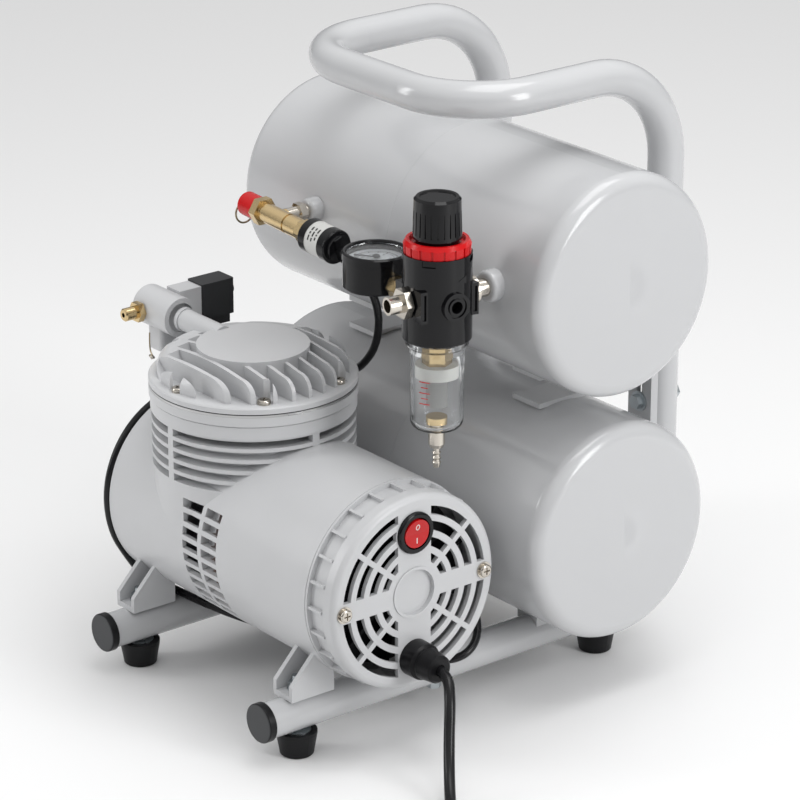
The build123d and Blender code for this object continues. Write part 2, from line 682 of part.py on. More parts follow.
# ---------------------------------------------------------------- cylinder and head
PISTON_R = 22.4
CUP_R = LINER_R - GAP
PISTON_Z = 177.2
CRANK_PIN_Z = MOTOR_Z + THROW
with BuildPart() as connecting_rod:
    with BuildSketch(facing_x(ROD_X0, MOTOR_Y, CRANK_PIN_Z)):
        Circle(13)
        Circle(8, mode=Mode.SUBTRACT)
    extrude(amount=ROD_X1 - ROD_X0)
    with BuildSketch(facing_x(ROD_X0 + 1, MOTOR_Y, (CRANK_PIN_Z + 12 + PISTON_Z) / 2)):
        Rectangle(11, PISTON_Z - CRANK_PIN_Z - 12)
    extrude(amount=ROD_X1 - ROD_X0 - 2)
    with BuildSketch(upright(HEAD_X, MOTOR_Y, PISTON_Z)):
        Circle(PISTON_R)
    extrude(amount=4)
    # ball bearing in the big end
    with BuildSketch(facing_x(ROD_X0 + 0.5, MOTOR_Y, CRANK_PIN_Z)):
        Circle(8)
        Circle(6.1, mode=Mode.SUBTRACT)
    extrude(amount=ROD_X1 - ROD_X0 - 1)
write(connecting_rod, "connecting_rod")

with BuildPart() as piston_cup:
    with BuildSketch(Plane(origin=(HEAD_X, MOTOR_Y, PISTON_Z + 4), x_dir=(1, 0, 0), z_dir=(0, -1, 0))):
        Polygon((0, 0), (CUP_R, 0), (CUP_R, 2.6), (CUP_R - 0.8, 2.6), (CUP_R - 0.8, 1), (0, 1), align=None)
    revolve(axis=Axis((HEAD_X, MOTOR_Y, 0), (0, 0, 1)))
    with BuildSketch(upright(HEAD_X, MOTOR_Y, PISTON_Z + 5)):
        Circle(18)
    extrude(amount=2)
write(piston_cup, "piston_cup")

with BuildPart() as cylinder_liner:
    with BuildSketch(upright(HEAD_X, MOTOR_Y, 152)):
        Circle(LINER_R + 1.9)
        Circle(LINER_R, mode=Mode.SUBTRACT)
    extrude(amount=GASKET_Z - 1.6 - 152)
    with BuildSketch(upright(HEAD_X, MOTOR_Y, BARREL_TOP + 0.05)):
        Circle(LINER_R + 6)
        Circle(LINER_R, mode=Mode.SUBTRACT)
    extrude(amount=3)
write(cylinder_liner, "cylinder_liner")

with BuildPart() as cylinder_ring:
    with BuildSketch(Plane(origin=(HEAD_X, MOTOR_Y, 0), x_dir=(1, 0, 0), z_dir=(0, -1, 0))):
        Polygon(
            (LINER_R + 6.1, BARREL_TOP), (BARREL_R + 0.6, BARREL_TOP), (BARREL_R + 0.6, BARREL_TOP + 7.6),
            (BARREL_R + 0.1, BARREL_TOP + 7.9), (BARREL_R + 0.1, BARREL_TOP + 8.2),
            (HEAD_R, BARREL_TOP + 8.5), (HEAD_R, GASKET_Z - 1.6), (LINER_R + 2, GASKET_Z - 1.6),
            (LINER_R + 2, BARREL_TOP + 3.1), (LINER_R + 6.1, BARREL_TOP + 3.1), align=None,
        )
    revolve(axis=Axis((HEAD_X, MOTOR_Y, 0), (0, 0, 1)))
    with Locations(upright(HEAD_X, MOTOR_Y, GASKET_Z - 1.6)):
        with PolarLocations(HEAD_SCREW_CIRCLE, 6, start_angle=30):
            Hole(2.3, depth=12)
write(cylinder_ring, "cylinder_ring")

# Valve plate with its inlet and outlet reeds lying in shallow pockets.
with BuildPart() as valve_plate:
    with BuildSketch(upright(HEAD_X, MOTOR_Y, GASKET_Z - 1.55)):
        Circle(HEAD_R - 0.1)
        with PolarLocations(HEAD_SCREW_CIRCLE, 6, start_angle=30):
            Circle(2.3, mode=Mode.SUBTRACT)
        with Locations((-9, 0), (9, 0)):
            Circle(3, mode=Mode.SUBTRACT)
    extrude(amount=1.5)
    for x in (-9, 9):
        with BuildSketch(upright(HEAD_X + x, MOTOR_Y + 4, GASKET_Z - 0.05)):
            RectangleRounded(8, 20, 3)
        extrude(amount=0.5)
write(valve_plate, "valve_plate")

with BuildPart() as head_gasket:
    with BuildSketch(upright(HEAD_X, MOTOR_Y, GASKET_Z)):
        Circle(HEAD_R - 0.5)
        Circle(DISC_R - 2, mode=Mode.SUBTRACT)
        with PolarLocations(HEAD_SCREW_CIRCLE, 6, start_angle=30):
            Circle(2.3, mode=Mode.SUBTRACT)
    extrude(amount=GASKET_T)
write(head_gasket, "head_gasket")

# Head cover: a domed casting with pockets cut between parallel fins.
head_base = GASKET_Z + GASKET_T
DOME_R = 57.6
POCKET_FLOOR = 191.0
MANIFOLD_R = 12.4
MANIFOLD_X0, MANIFOLD_X1 = -140.6, -105.4
MANIFOLD_Z = 203.4
PIPE_R = 6.8
with BuildPart() as cylinder_head:
    with BuildSketch(Plane(origin=(HEAD_X, MOTOR_Y, 0), x_dir=(1, 0, 0), z_dir=(0, -1, 0))):
        with BuildLine():
            Polyline((0, head_base), (HEAD_R, head_base), (HEAD_R, HEAD_FLANGE_TOP - 0.8))
            Line((HEAD_R, HEAD_FLANGE_TOP - 0.8), (HEAD_R - 0.8, HEAD_FLANGE_TOP))
            Polyline((HEAD_R - 0.8, HEAD_FLANGE_TOP), (DOME_R, HEAD_FLANGE_TOP + 0.6), (DOME_R, 195.4))
            ThreePointArc((DOME_R, 195.4), (DOME_R - 2.9, 201.4), (DOME_R - 9.5, 203.8))
            Polyline((DOME_R - 9.5, 203.8), (DISC_R, 206.4), (DISC_R, DISC_Z), (0, DISC_Z), (0, head_base))
        make_face()
    revolve(axis=Axis((HEAD_X, MOTOR_Y, 0), (0, 0, 1)))
    # pockets between the fins, each with a ramp at its left end
    for k in range(-5, 5):
        near = MOTOR_Y - 1 + k * FIN_PITCH + FIN_T / 2
        wide = FIN_PITCH - FIN_T
        middle = near + wide / 2 - MOTOR_Y
        ramp = -22 - 5 * (k + 5) if k < 0 else -14.0
        if k == -5:
            ramp = -34.0
        with BuildSketch(side_section(near)):
            with BuildLine():
                Polyline((HEAD_X + ramp, 212), (HEAD_X + ramp, 206))
                ThreePointArc(
                    (HEAD_X + ramp, 206), (HEAD_X + ramp + 7, 194.6), (HEAD_X + ramp + 20, POCKET_FLOOR)
                )
                Polyline(
                    (HEAD_X + ramp + 20, POCKET_FLOOR), (HEAD_X + 70, POCKET_FLOOR),
                    (HEAD_X + 70, 212), (HEAD_X + ramp, 212),
                )
            make_face()
        extrude(amount=-wide, mode=Mode.SUBTRACT)
    with BuildSketch(upright(HEAD_X, MOTOR_Y, head_base)):
        Circle(DISC_R)
    extrude(amount=DISC_Z - head_base)
    # hollow under the disc, above the reeds
    with BuildSketch(upright(HEAD_X, MOTOR_Y, head_base)):
        Circle(DISC_R - 4)
    extrude(amount=12, mode=Mode.SUBTRACT)
    # delivery pipe towards the manifold
    with BuildSketch(facing_x(MANIFOLD_X1 + 2.5, MOTOR_Y, MANIFOLD_Z)):
        Circle(PIPE_R)
    extrude(amount=HEAD_X - DISC_R + 4 - MANIFOLD_X1 - 2.5)
    with BuildSketch(facing_x(MANIFOLD_X1 + 2.5, MOTOR_Y, MANIFOLD_Z)):
        Circle(PIPE_R + 0.7)
    extrude(amount=3)
    with BuildSketch(upright(HEAD_X, MOTOR_Y, HEAD_FLANGE_TOP)):
        with PolarLocations(HEAD_SCREW_CIRCLE, 6, start_angle=30):
            Circle(5.6)
    extrude(amount=30, mode=Mode.SUBTRACT)
    with BuildSketch(upright(HEAD_X, MOTOR_Y, head_base)):
        with PolarLocations(HEAD_SCREW_CIRCLE, 6, start_angle=30):
            Circle(2.3)
    extrude(amount=10, mode=Mode.SUBTRACT)
write(cylinder_head, "cylinder_head")

screws = []
for k in range(6):
    a = radians(30 + 60 * k)
    x = HEAD_X + HEAD_SCREW_CIRCLE * cos(a)
    y = MOTOR_Y + HEAD_SCREW_CIRCLE * sin(a)
    screws.append(pan_screw(upright(x, y, HEAD_FLANGE_TOP + 0.05), 4.1, 2.7, 2.1, 14, 25 + 40 * k))
with BuildPart() as head_screws:
    add(screws)
write(head_screws, "head_screws")

# ---------------------------------------------------------------- manifold and unloader valve
with BuildPart() as manifold:
    with BuildSketch(facing_x(MANIFOLD_X0, MOTOR_Y, MANIFOLD_Z)):
        Circle(MANIFOLD_R)
    extrude(amount=MANIFOLD_X1 - MANIFOLD_X0)
    left_rim = manifold.edges().filter_by(GeomType.CIRCLE).sort_by(Axis.X)[0]
    fillet(left_rim, radius=1.5)
    # leg that stands on the head's flange side
    with BuildSketch(upright((MANIFOLD_X0 + MANIFOLD_X1) / 2 - 1, MOTOR_Y - 1, MANIFOLD_Z - 24)):
        RectangleRounded(15, 13, 3)
    extrude(amount=16)
    # block that carries the unloader coil
    with BuildSketch(upright(-126.0, MOTOR_Y + 17, MANIFOLD_Z - 10)):
        Rectangle(14, 16)
    extrude(amount=21)
    with BuildSketch(facing_x(MANIFOLD_X1, MOTOR_Y, MANIFOLD_Z)):
        Circle(MANIFOLD_R - 3.2)
    extrude(amount=-4, mode=Mode.SUBTRACT)
    port = Plane(origin=(-131, MOTOR_Y - MANIFOLD_R, MANIFOLD_Z), x_dir=(1, 0, 0), z_dir=(0, -1, 0))
    with BuildSketch(port):
        Circle(2.5)
    extrude(amount=-14, mode=Mode.SUBTRACT)
write(manifold, "manifold")

with BuildPart() as manifold_nipple:
    hex_seat = Plane(
        origin=(-131, MOTOR_Y - MANIFOLD_R - 0.05, MANIFOLD_Z), x_dir=(1, 0, 0), z_dir=(0, -1, 0)
    )
    with BuildSketch(hex_seat):
        RegularPolygon(6.6, 6)
    extrude(amount=4.2)
    with BuildSketch(hex_seat.offset(4.2)):
        Circle(4.1)
    extrude(amount=8.5)
    tip = manifold_nipple.edges().filter_by(GeomType.CIRCLE).sort_by(Axis.Y)[0]
    chamfer(tip, length=0.8)
    with BuildSketch(hex_seat.offset(12.7)):
        Circle(1.5)
    extrude(amount=-12.7, mode=Mode.SUBTRACT)
write(manifold_nipple, "manifold_nipple")

with BuildPart() as unloader_coil:
    with BuildSketch(upright(-126.0, MOTOR_Y + 25.1 + 12, MANIFOLD_Z - 11)):
        RectangleRounded(16, 24, 1)
    extrude(amount=23)
    with BuildSketch(upright(-126.0, MOTOR_Y + 25.1 + 12 + 3, MANIFOLD_Z - 17)):
        Rectangle(12, 14)
    extrude(amount=7)
    with BuildSketch(Plane(origin=(-126.0, MOTOR_Y + 49, MANIFOLD_Z + 3), x_dir=(1, 0, 0), z_dir=(0, 1, 0))):
        Circle(4)
    extrude(amount=3)
write(unloader_coil, "unloader_coil")

# ---------------------------------------------------------------- fittings between the tanks
inlet_out = Vector(0, -cos(radians(INLET_ANGLE)), sin(radians(INLET_ANGLE)))
inlet = Plane(
    origin=Vector(INLET_X, TANK_Y, LOWER_Z) + inlet_out * (TANK_R - 1), x_dir=(1, 0, 0), z_dir=inlet_out
)
INLET_NUT_END = 7.5
INLET_END = 13.0
with BuildPart() as tank_fittings:
    # short pipe that joins the tanks, with a collar at each end
    link_z0, link_z1 = LOWER_Z + TANK_R + 0.05, UPPER_Z - TANK_R - 0.05
    with BuildSketch(upright(LINK_X, TANK_Y, link_z0)):
        Circle(6.4)
        Circle(3.5, mode=Mode.SUBTRACT)
    extrude(amount=link_z1 - link_z0)
    with BuildSketch(upright(LINK_X, TANK_Y, link_z0 + 5)):
        Circle(8.4)
        Circle(3.5, mode=Mode.SUBTRACT)
    extrude(amount=8)
    # fitting that takes the delivery hose, square to the lower tank's front
    with BuildSketch(inlet):
        RegularPolygon(7, 6)
    extrude(amount=INLET_NUT_END)
    with BuildSketch(inlet):
        Circle(4.0)
    extrude(amount=INLET_END)
    add(lower_core, mode=Mode.SUBTRACT)
write(tank_fittings, "tank_fittings")

HOSE_R = 4.0
block_bottom = MANIFOLD_Z - 10
hose_end = inlet.offset(INLET_END + 0.05).origin
hose_points = [
    (-126.0, -58.0, block_bottom - 0.05),
    (-126.0, -58.0, block_bottom - 17.3),
    (-122.0, -50.0, block_bottom - 32.3),
    (-112.0, -38.5, block_bottom - 44.8),
    (-106.5, -24.0, block_bottom - 54.3),
    (hose_end.X, hose_end.Y, hose_end.Z),
]


def tube_along(points, radius, start_dir):
    """A round cord or hose: straight runs joined by tangent arcs as large as the runs allow."""
    radii = corner_radii(points)
    with BuildPart() as tube:
        with BuildLine() as line:
            FilletPolyline(*points, radius=radii)
        with BuildSketch(Plane(origin=points[0], z_dir=start_dir)):
            Circle(radius)
        sweep(path=line.line)
    length = route_length(points, radii)
    expected = pi * radius**2 * length
    print("route length", round(length, 1), "radii", [round(r, 1) for r in radii])
    print("volume", round(tube.part.volume), "section times length", round(expected))
    return tube, length


def first_run(points):
    return Vector(*points[1]) - Vector(*points[0])


air_hose, _ = tube_along(hose_points, HOSE_R, first_run(hose_points))
write(air_hose, "air_hose")

# ---------------------------------------------------------------- safety valve, tee, pressure switch
with BuildPart() as tee_fitting:
    with BuildSketch(valve_station(-10.5)):
        Circle(6.2)
    extrude(amount=22)
    with BuildSketch(valve_station(11.5)):
        Circle(5.6)
    extrude(amount=1.5)
    with BuildSketch(valve_station(13)):
        Circle(6.2)
    extrude(amount=12)
    with BuildSketch(valve_station(25)):
        RegularPolygon(7.4, 6)
    extrude(amount=8)
    with BuildSketch(Plane(origin=(VALVE_X, VALVE_Y, VALVE_Z), x_dir=(1, 0, 0), z_dir=(0, 1, 0))):
        Circle(4.6)
    extrude(amount=boss_front - 0.05 - VALVE_Y)
    with BuildSketch(Plane(origin=(VALVE_X, boss_front - 7, VALVE_Z), x_dir=(1, 0, 0), z_dir=(0, 1, 0))):
        RegularPolygon(6.6, 6)
    extrude(amount=4.5)
write(tee_fitting, "tee_fitting")

CAP_START, CAP_END = -31.6, -17.9
with BuildPart() as safety_valve_body:
    with BuildSketch(valve_station(-17.6)):
        RegularPolygon(9.0, 6)
    extrude(amount=5.5)
    with BuildSketch(valve_station(-12.1)):
        Circle(6.6)
    extrude(amount=1.55)
write(safety_valve_body, "safety_valve_body")

EYE_ALONG = CAP_START - 1.9
with BuildPart() as safety_valve_cap:
    with BuildSketch(valve_station(CAP_START)):
        Circle(7.6)
    extrude(amount=CAP_END - CAP_START)
    crown = safety_valve_cap.edges().filter_by(GeomType.CIRCLE).sort_by(Axis.X)[0]
    fillet(crown, radius=1.6)
    with BuildSketch(valve_station(CAP_START + 0.5)):
        Circle(1.9)
    extrude(amount=-4.2)
    eye = valve_station(EYE_ALONG).origin
    with BuildSketch(Plane(origin=eye - Vector(0, 5, 0), x_dir=(1, 0, 0), z_dir=(0, 1, 0))):
        Circle(1.05)
    extrude(amount=10, mode=Mode.SUBTRACT)
write(safety_valve_cap, "safety_valve_cap")

RING_R = 6.6
RING_WIRE_R = 0.6
with BuildPart() as pull_ring:
    with Locations(Plane(origin=eye - Vector(0, 0, RING_R), x_dir=(0, 1, 0), z_dir=(1, 0, 0))):
        Torus(RING_R, RING_WIRE_R)
write(pull_ring, "pull_ring")

SWITCH_BODY_R = 10.6
SWITCH_START, LABEL_START, LABEL_END, SWITCH_END = 33.05, 40.0, 52.0, 59.0
BOOT_L = 10.0
boot = Plane(origin=valve_station(SWITCH_END + 1.0).origin, x_dir=(0.8, 0, 0.6), z_dir=(0.5, 0.5, -0.7))
with BuildPart() as pressure_switch:
    for start, end, radius in (
        (SWITCH_START, LABEL_START, SWITCH_BODY_R), (LABEL_START, LABEL_END, SWITCH_BODY_R - 0.3),
        (LABEL_END, SWITCH_END, SWITCH_BODY_R),
    ):
        with BuildSketch(valve_station(start)):
            Circle(radius)
        extrude(amount=end - start)
    end_rims = pressure_switch.edges().filter_by(GeomType.CIRCLE).sort_by(Axis.X)
    fillet((end_rims[0], end_rims[-1]), radius=1.2)
    with BuildSketch(valve_station(SWITCH_END - 0.5)):
        Circle(8.2)
    extrude(amount=3.5)
    with BuildSketch(valve_station(SWITCH_END + 2.0)):
        Rectangle(5.5, 15.5, rotation=20)
    extrude(amount=2.5)
    # a short boot takes the lead out downwards and to the back
    with BuildSketch(boot):
        Circle(3.5)
    extrude(amount=BOOT_L)
write(pressure_switch, "pressure_switch")

# Lead from the switch: down, behind the head, round the motor's rear and under it to the fan end.
LEAD_RING_R = 62.4
lead_rear_x = CASING_X0 - 3.4


def behind_rear(angle, x=lead_rear_x, radius=LEAD_RING_R):
    """A point behind the rear cover at this angle above the motor's -Y side."""
    a = radians(angle)
    return (x, MOTOR_Y - radius * cos(a), MOTOR_Z + radius * sin(a))


lead_exit = boot.offset(BOOT_L + 0.05).origin
lead_turn = boot.offset(BOOT_L + 9.0).origin
lead_points = [
    (lead_exit.X, lead_exit.Y, lead_exit.Z),
    (lead_turn.X, lead_turn.Y, lead_turn.Z),
    (7.3, -16.6, 240.5),
    (9.2, -12.8, 229.0),
    (7.4, -10.0, 214.0),
    (0.0, -9.0, 195.5),
    (-22.0, -7.0, 176.0),
    (-52.0, -7.0, 168.0),
    (-78.0, -12.0, 166.0),
    (-95.0, -28.0, 165.5),
    (lead_rear_x, -54.0, 163.5),
    (lead_rear_x, -80.0, 162.3),
    behind_rear(58),
    behind_rear(33),
    behind_rear(7),
    behind_rear(-19),
    behind_rear(-42),
    (-97.0, -113.5, 45.4),
    (-79.0, -105.3, 41.2),
    (-50.0, -97.0, 36.5),
    (-12.0, -84.0, 33.5),
    (32.0, -65.0, 33.5),
    (64.0, -50.0, 37.5),
    (83.3, -44.6, 41.4),
    (98.5, -43.0, 40.8),
    (109.0, -38.0, 41.0),
    (113.5, -28.5, 44.0),
    (110.5, -18.0, 49.5),
    (101.5, -10.5, 57.5),
    (92.5, -8.0, 68.0),
    (90.0, -16.9, 75.0),
]
pressure_lead, _ = tube_along(lead_points, LEAD_D / 2, first_run(lead_points))
write(pressure_lead, "pressure_lead")

# ---------------------------------------------------------------- filter regulator
KNOB_R = 14.3
KNOB_Z0, KNOB_Z1 = 302.2, 326.4
RING_Z0, RING_Z1 = 293.7, 301.4
BODY_Z0 = 241.6
BLOCK_HALF_W = 14.0
BLOCK_HALF_L = 19.2
BLOCK_H = 19.0
reg_axis = Axis((REG_X, REG_Y, 0), (0, 0, 1))
turned = Plane(
    origin=(REG_X, REG_Y, 0), x_dir=(cos(radians(REG_TURN)), sin(radians(REG_TURN)), 0), z_dir=(0, 0, 1)
)
reg_out, reg_in_side, reg_blank, reg_gauge = -90, 90, 0, 180
with BuildPart() as regulator_body:
    with BuildSketch(turned.offset(BODY_Z0)):
        Circle(REG_R)
    extrude(amount=RING_Z0 - 0.05 - BODY_Z0)
    low_rim = regulator_body.edges().filter_by(GeomType.CIRCLE).sort_by(Axis.Z)[0]
    fillet(low_rim, radius=1.2)
    with BuildSketch(turned.offset(PORT_Z - BLOCK_H / 2)):
        Rectangle(2 * BLOCK_HALF_W, 2 * BLOCK_HALF_L)
    extrude(amount=BLOCK_H)
    # sunk frames on the sides of the two port blocks
    for side in (-1, 1):
        for end in (-1, 1):
            frame_face = Plane(
                origin=turned.from_local_coords((side * BLOCK_HALF_W, end * (BLOCK_HALF_L - 2.4), PORT_Z)),
                x_dir=turned.y_dir, z_dir=turned.x_dir * side,
            )
            with BuildSketch(frame_face):
                Rectangle(2.6, BLOCK_H - 3.6)
            extrude(amount=-1.2, mode=Mode.SUBTRACT)
    for angle, radius, reach in ((reg_blank, 8.4, 22.0), (reg_gauge, 7.6, 22.5)):
        with BuildSketch(regulator_side(angle, 12, PORT_Z if angle == reg_blank else PORT_Z - 8.0)):
            Circle(radius)
        extrude(amount=reach - 12)
    with BuildSketch(regulator_side(reg_blank, 22, PORT_Z)):
        Circle(6.4)
        Circle(5.0, mode=Mode.SUBTRACT)
    extrude(amount=-0.9, mode=Mode.SUBTRACT)
    with BuildSketch(regulator_side(reg_blank, 22, PORT_Z)):
        Circle(3.6)
    extrude(amount=-8, mode=Mode.SUBTRACT)
    # bonnet neck under the knob
    with BuildSketch(turned.offset(RING_Z0 - 0.05)):
        Circle(12.4)
    extrude(amount=KNOB_Z0 - 0.4 - RING_Z0)
    with BuildSketch(turned.offset(RING_Z0 - 20)):
        Circle(4.2)
    extrude(amount=40, mode=Mode.SUBTRACT)
    with BuildSketch(turned.offset(BODY_Z0)):
        Circle(9.2)
    extrude(amount=14, mode=Mode.SUBTRACT)
    for k in range(4):
        with BuildSketch(regulator_side(45 + 90 * k, REG_R - 1.2, RING_Z0 - 2.3)):
            Rectangle(8, 3.6)
        extrude(amount=3, mode=Mode.SUBTRACT)
write(regulator_body, "regulator_body")

with BuildPart() as lock_ring:
    with BuildSketch(Plane(origin=(REG_X, REG_Y, 0), x_dir=(1, 0, 0), z_dir=(0, -1, 0))):
        Polygon(
            (12.6, RING_Z0), (19.4, RING_Z0), (19.6, RING_Z0 + 5.2), (18.2, RING_Z1), (16.2, RING_Z1),
            (15.2, RING_Z1 - 2.2), (12.6, RING_Z1 - 2.2), align=None,
        )
    revolve(axis=reg_axis)
    for k in range(18):
        with BuildSketch(regulator_side(20 * k, 18.9, RING_Z0 + 2.6)):
            Rectangle(1.5, 5.6)
        extrude(amount=2, mode=Mode.SUBTRACT)
write(lock_ring, "lock_ring")

KNOB_FLUTES = 24
with BuildPart() as regulator_knob:
    with BuildSketch(Plane(origin=(REG_X, REG_Y, 0), x_dir=(1, 0, 0), z_dir=(0, -1, 0))):
        Polygon(
            (0, KNOB_Z1 - 0.8), (9.8, KNOB_Z1 - 0.8), (10.4, KNOB_Z1), (12.2, KNOB_Z1), (13.6, KNOB_Z1 - 1.4),
            (KNOB_R, KNOB_Z0), (12.9, KNOB_Z0), (12.9, KNOB_Z0 + 6), (4.6, KNOB_Z0 + 6), (4.6, KNOB_Z1 - 6),
            (0, KNOB_Z1 - 6), align=None,
        )
    revolve(axis=reg_axis)
    for k in range(KNOB_FLUTES):
        with BuildSketch(regulator_side(360 * k / KNOB_FLUTES, 13.5, KNOB_Z0 + 9.5)):
            Rectangle(0.8, 14)
        extrude(amount=2, mode=Mode.SUBTRACT)
write(regulator_knob, "regulator_knob")

with BuildPart() as adjusting_spindle:
    with BuildSketch(turned.offset(RING_Z0 - 18)):
        Circle(4.15)
    extrude(amount=KNOB_Z0 + 11.5 - RING_Z0 + 18)
    with BuildSketch(turned.offset(KNOB_Z0 + 7)):
        Circle(4.3)
    extrude(amount=4.5)
write(adjusting_spindle, "adjusting_spindle")

BOWL_R = 15.9
BOWL_WALL = 1.8
BOWL_Z0 = 186.6
bowl_top = BODY_Z0 - 0.05
with BuildPart() as filter_bowl:
    with BuildSketch(Plane(origin=(REG_X, REG_Y, 0), x_dir=(1, 0, 0), z_dir=(0, -1, 0))):
        with BuildLine():
            Polyline(
                (10.5, bowl_top), (18.4, bowl_top), (18.4, bowl_top - 3.2), (16.6, bowl_top - 5.0),
                (BOWL_R, bowl_top - 8), (BOWL_R - 0.4, BOWL_Z0 + 5),
            )
            ThreePointArc(
                (BOWL_R - 0.4, BOWL_Z0 + 5), (BOWL_R - 1.9, BOWL_Z0 + 1.5), (BOWL_R - 5.4, BOWL_Z0)
            )
            Polyline(
                (BOWL_R - 5.4, BOWL_Z0), (3.2, BOWL_Z0), (3.2, BOWL_Z0 + 2.0), (BOWL_R - 6.4, BOWL_Z0 + 2.0)
            )
            ThreePointArc(
                (BOWL_R - 6.4, BOWL_Z0 + 2.0), (BOWL_R - 3.2, BOWL_Z0 + 3.4), (BOWL_R - 2.2, BOWL_Z0 + 6)
            )
            Polyline((BOWL_R - 2.2, BOWL_Z0 + 6), (BOWL_R - BOWL_WALL, bowl_top - 2), (10.5, bowl_top - 2))
            Line((10.5, bowl_top - 2), (10.5, bowl_top))
        make_face()
    revolve(axis=reg_axis)
write(filter_bowl, "filter_bowl")

with BuildPart() as filter_element:
    with BuildSketch(turned.offset(226)):
        RegularPolygon(8.6, 6)
    extrude(amount=BODY_Z0 + 13.95 - 226)
    with BuildSketch(turned.offset(218.5)):
        Circle(12.6)
    extrude(amount=7.5)
    with BuildSketch(turned.offset(200)):
        Circle(6.2)
    extrude(amount=18.5)
write(filter_element, "filter_element")

# Push-up drain: nickel stem through the bowl floor with a hose barb below.
with BuildPart() as bowl_drain:
    with BuildSketch(Plane(origin=(REG_X, REG_Y, 0), x_dir=(1, 0, 0), z_dir=(0, -1, 0))):
        Polygon(
            (0, 193.4), (6.2, 193.4), (6.2, 189.0), (2.9, 189.0), (2.9, 183.9), (4.9, 183.9), (4.9, 176.4),
            (4.0, 174.2), (2.0, 173.6), (2.0, 171.6), (2.7, 170.6), (2.0, 169.6), (2.0, 168.6), (2.7, 167.6),
            (2.0, 166.6), (2.0, 165.6), (2.7, 164.6), (1.9, 161.6), (0, 161.6), align=None,
        )
    revolve(axis=reg_axis)
write(bowl_drain, "bowl_drain")

with BuildPart() as port_nipples:
    with BuildSketch(regulator_side(reg_out, REG_R + 0.05, PORT_Z)):
        RegularPolygon(9.2, 6)
    extrude(amount=4.4)
    with BuildSketch(regulator_side(reg_out, REG_R + 4.4, PORT_Z)):
        Circle(5.3)
    extrude(amount=8.4)
    with BuildSketch(regulator_side(reg_out, REG_R + 12.9, PORT_Z)):
        Circle(3.8)
    extrude(amount=-12, mode=Mode.SUBTRACT)
    # inlet side: nickel nipple and lock nut between the block and the tank's boss
    with BuildSketch(regulator_side(reg_in_side, REG_R + 0.05, PORT_Z)):
        Circle(8.6)
    extrude(amount=4.2)
    with BuildSketch(regulator_side(reg_in_side, REG_R + 4.2, PORT_Z)):
        Circle(5.4)
    extrude(amount=20)
    with BuildSketch(Plane(origin=(0, boss_front - 0.05, 0), x_dir=(1, 0, 0), z_dir=(0, 1, 0))):
        Rectangle(600, 900)
    extrude(amount=40, mode=Mode.SUBTRACT)
write(port_nipples, "port_nipples")

# Pressure gauge: upright case with its dial facing up, on a side stem.
gauge_turn = radians(180 + REG_TURN)
GAUGE_X = REG_X + GAUGE_ARM * cos(gauge_turn)
GAUGE_Y = REG_Y + GAUGE_ARM * sin(gauge_turn)
GAUGE_STEM_Z = PORT_Z - 8.0
gauge_axis = Axis((GAUGE_X, GAUGE_Y, 0), (0, 0, 1))
gauge_section = Plane(origin=(GAUGE_X, GAUGE_Y, 0), x_dir=(1, 0, 0), z_dir=(0, -1, 0))
DIAL_Z = GAUGE_Z1 - 6.0
with BuildPart() as gauge_case:
    with BuildSketch(gauge_section):
        Polygon(
            (0, GAUGE_Z0), (GAUGE_R - 1.2, GAUGE_Z0), (GAUGE_R, GAUGE_Z0 + 1.2), (GAUGE_R, GAUGE_Z1 - 5.0),
            (GAUGE_R + 0.4, GAUGE_Z1 - 4.8), (GAUGE_R + 0.4, GAUGE_Z1 - 0.8), (GAUGE_R - 0.6, GAUGE_Z1),
            (GAUGE_R - 1.8, GAUGE_Z1), (GAUGE_R - 2.6, GAUGE_Z1 - 1.0), (GAUGE_R - 2.6, DIAL_Z - 1.0),
            (0, DIAL_Z - 1.0), align=None,
        )
    revolve(axis=gauge_axis)
    with BuildSketch(regulator_side(reg_gauge, 22.55, GAUGE_STEM_Z)):
        RegularPolygon(6.6, 6)
    extrude(amount=GAUGE_ARM - GAUGE_R - 22.5)
write(gauge_case, "gauge_case")

with BuildPart() as gauge_dial:
    with BuildSketch(upright(GAUGE_X, GAUGE_Y, DIAL_Z - 0.95)):
        Circle(GAUGE_R - 2.7)
    extrude(amount=0.7)
write(gauge_dial, "gauge_dial")

NEEDLE_Z = DIAL_Z + 0.6
NEEDLE_REST = -135.0 + REG_TURN
with BuildPart() as gauge_needle:
    with BuildSketch(upright(GAUGE_X, GAUGE_Y, NEEDLE_Z)):
        Circle(1.6)
        with Locations((5.5 * cos(radians(NEEDLE_REST)), 5.5 * sin(radians(NEEDLE_REST)))):
            Rectangle(16, 0.7, rotation=NEEDLE_REST)
    extrude(amount=0.7)
write(gauge_needle, "gauge_needle")

with BuildPart() as gauge_lens:
    with BuildSketch(upright(GAUGE_X, GAUGE_Y, GAUGE_Z1 - 2.6)):
        Circle(GAUGE_R - 2.7)
    extrude(amount=1.2)
write(gauge_lens, "gauge_lens")

# ---------------------------------------------------------------- switch and mains lead
BEZEL_R = 12.7
BEZEL_T = 2.4
ROCKER_R = 8.7
with BuildPart() as switch_bezel:
    face = facing_x(COVER_X1 + 0.05, MOTOR_Y, MOTOR_Z + SWITCH_UP)
    with BuildSketch(face):
        Circle(BEZEL_R)
    extrude(amount=BEZEL_T)
    outer = switch_bezel.edges().filter_by(GeomType.CIRCLE).sort_by(Axis.X)[-1]
    fillet(outer, radius=1.6)
    with BuildSketch(face):
        Circle(10.5)
    extrude(amount=-12)
    with BuildSketch(face.offset(BEZEL_T)):
        Circle(ROCKER_R + 0.9)
    extrude(amount=-9, mode=Mode.SUBTRACT)
write(switch_bezel, "switch_bezel")

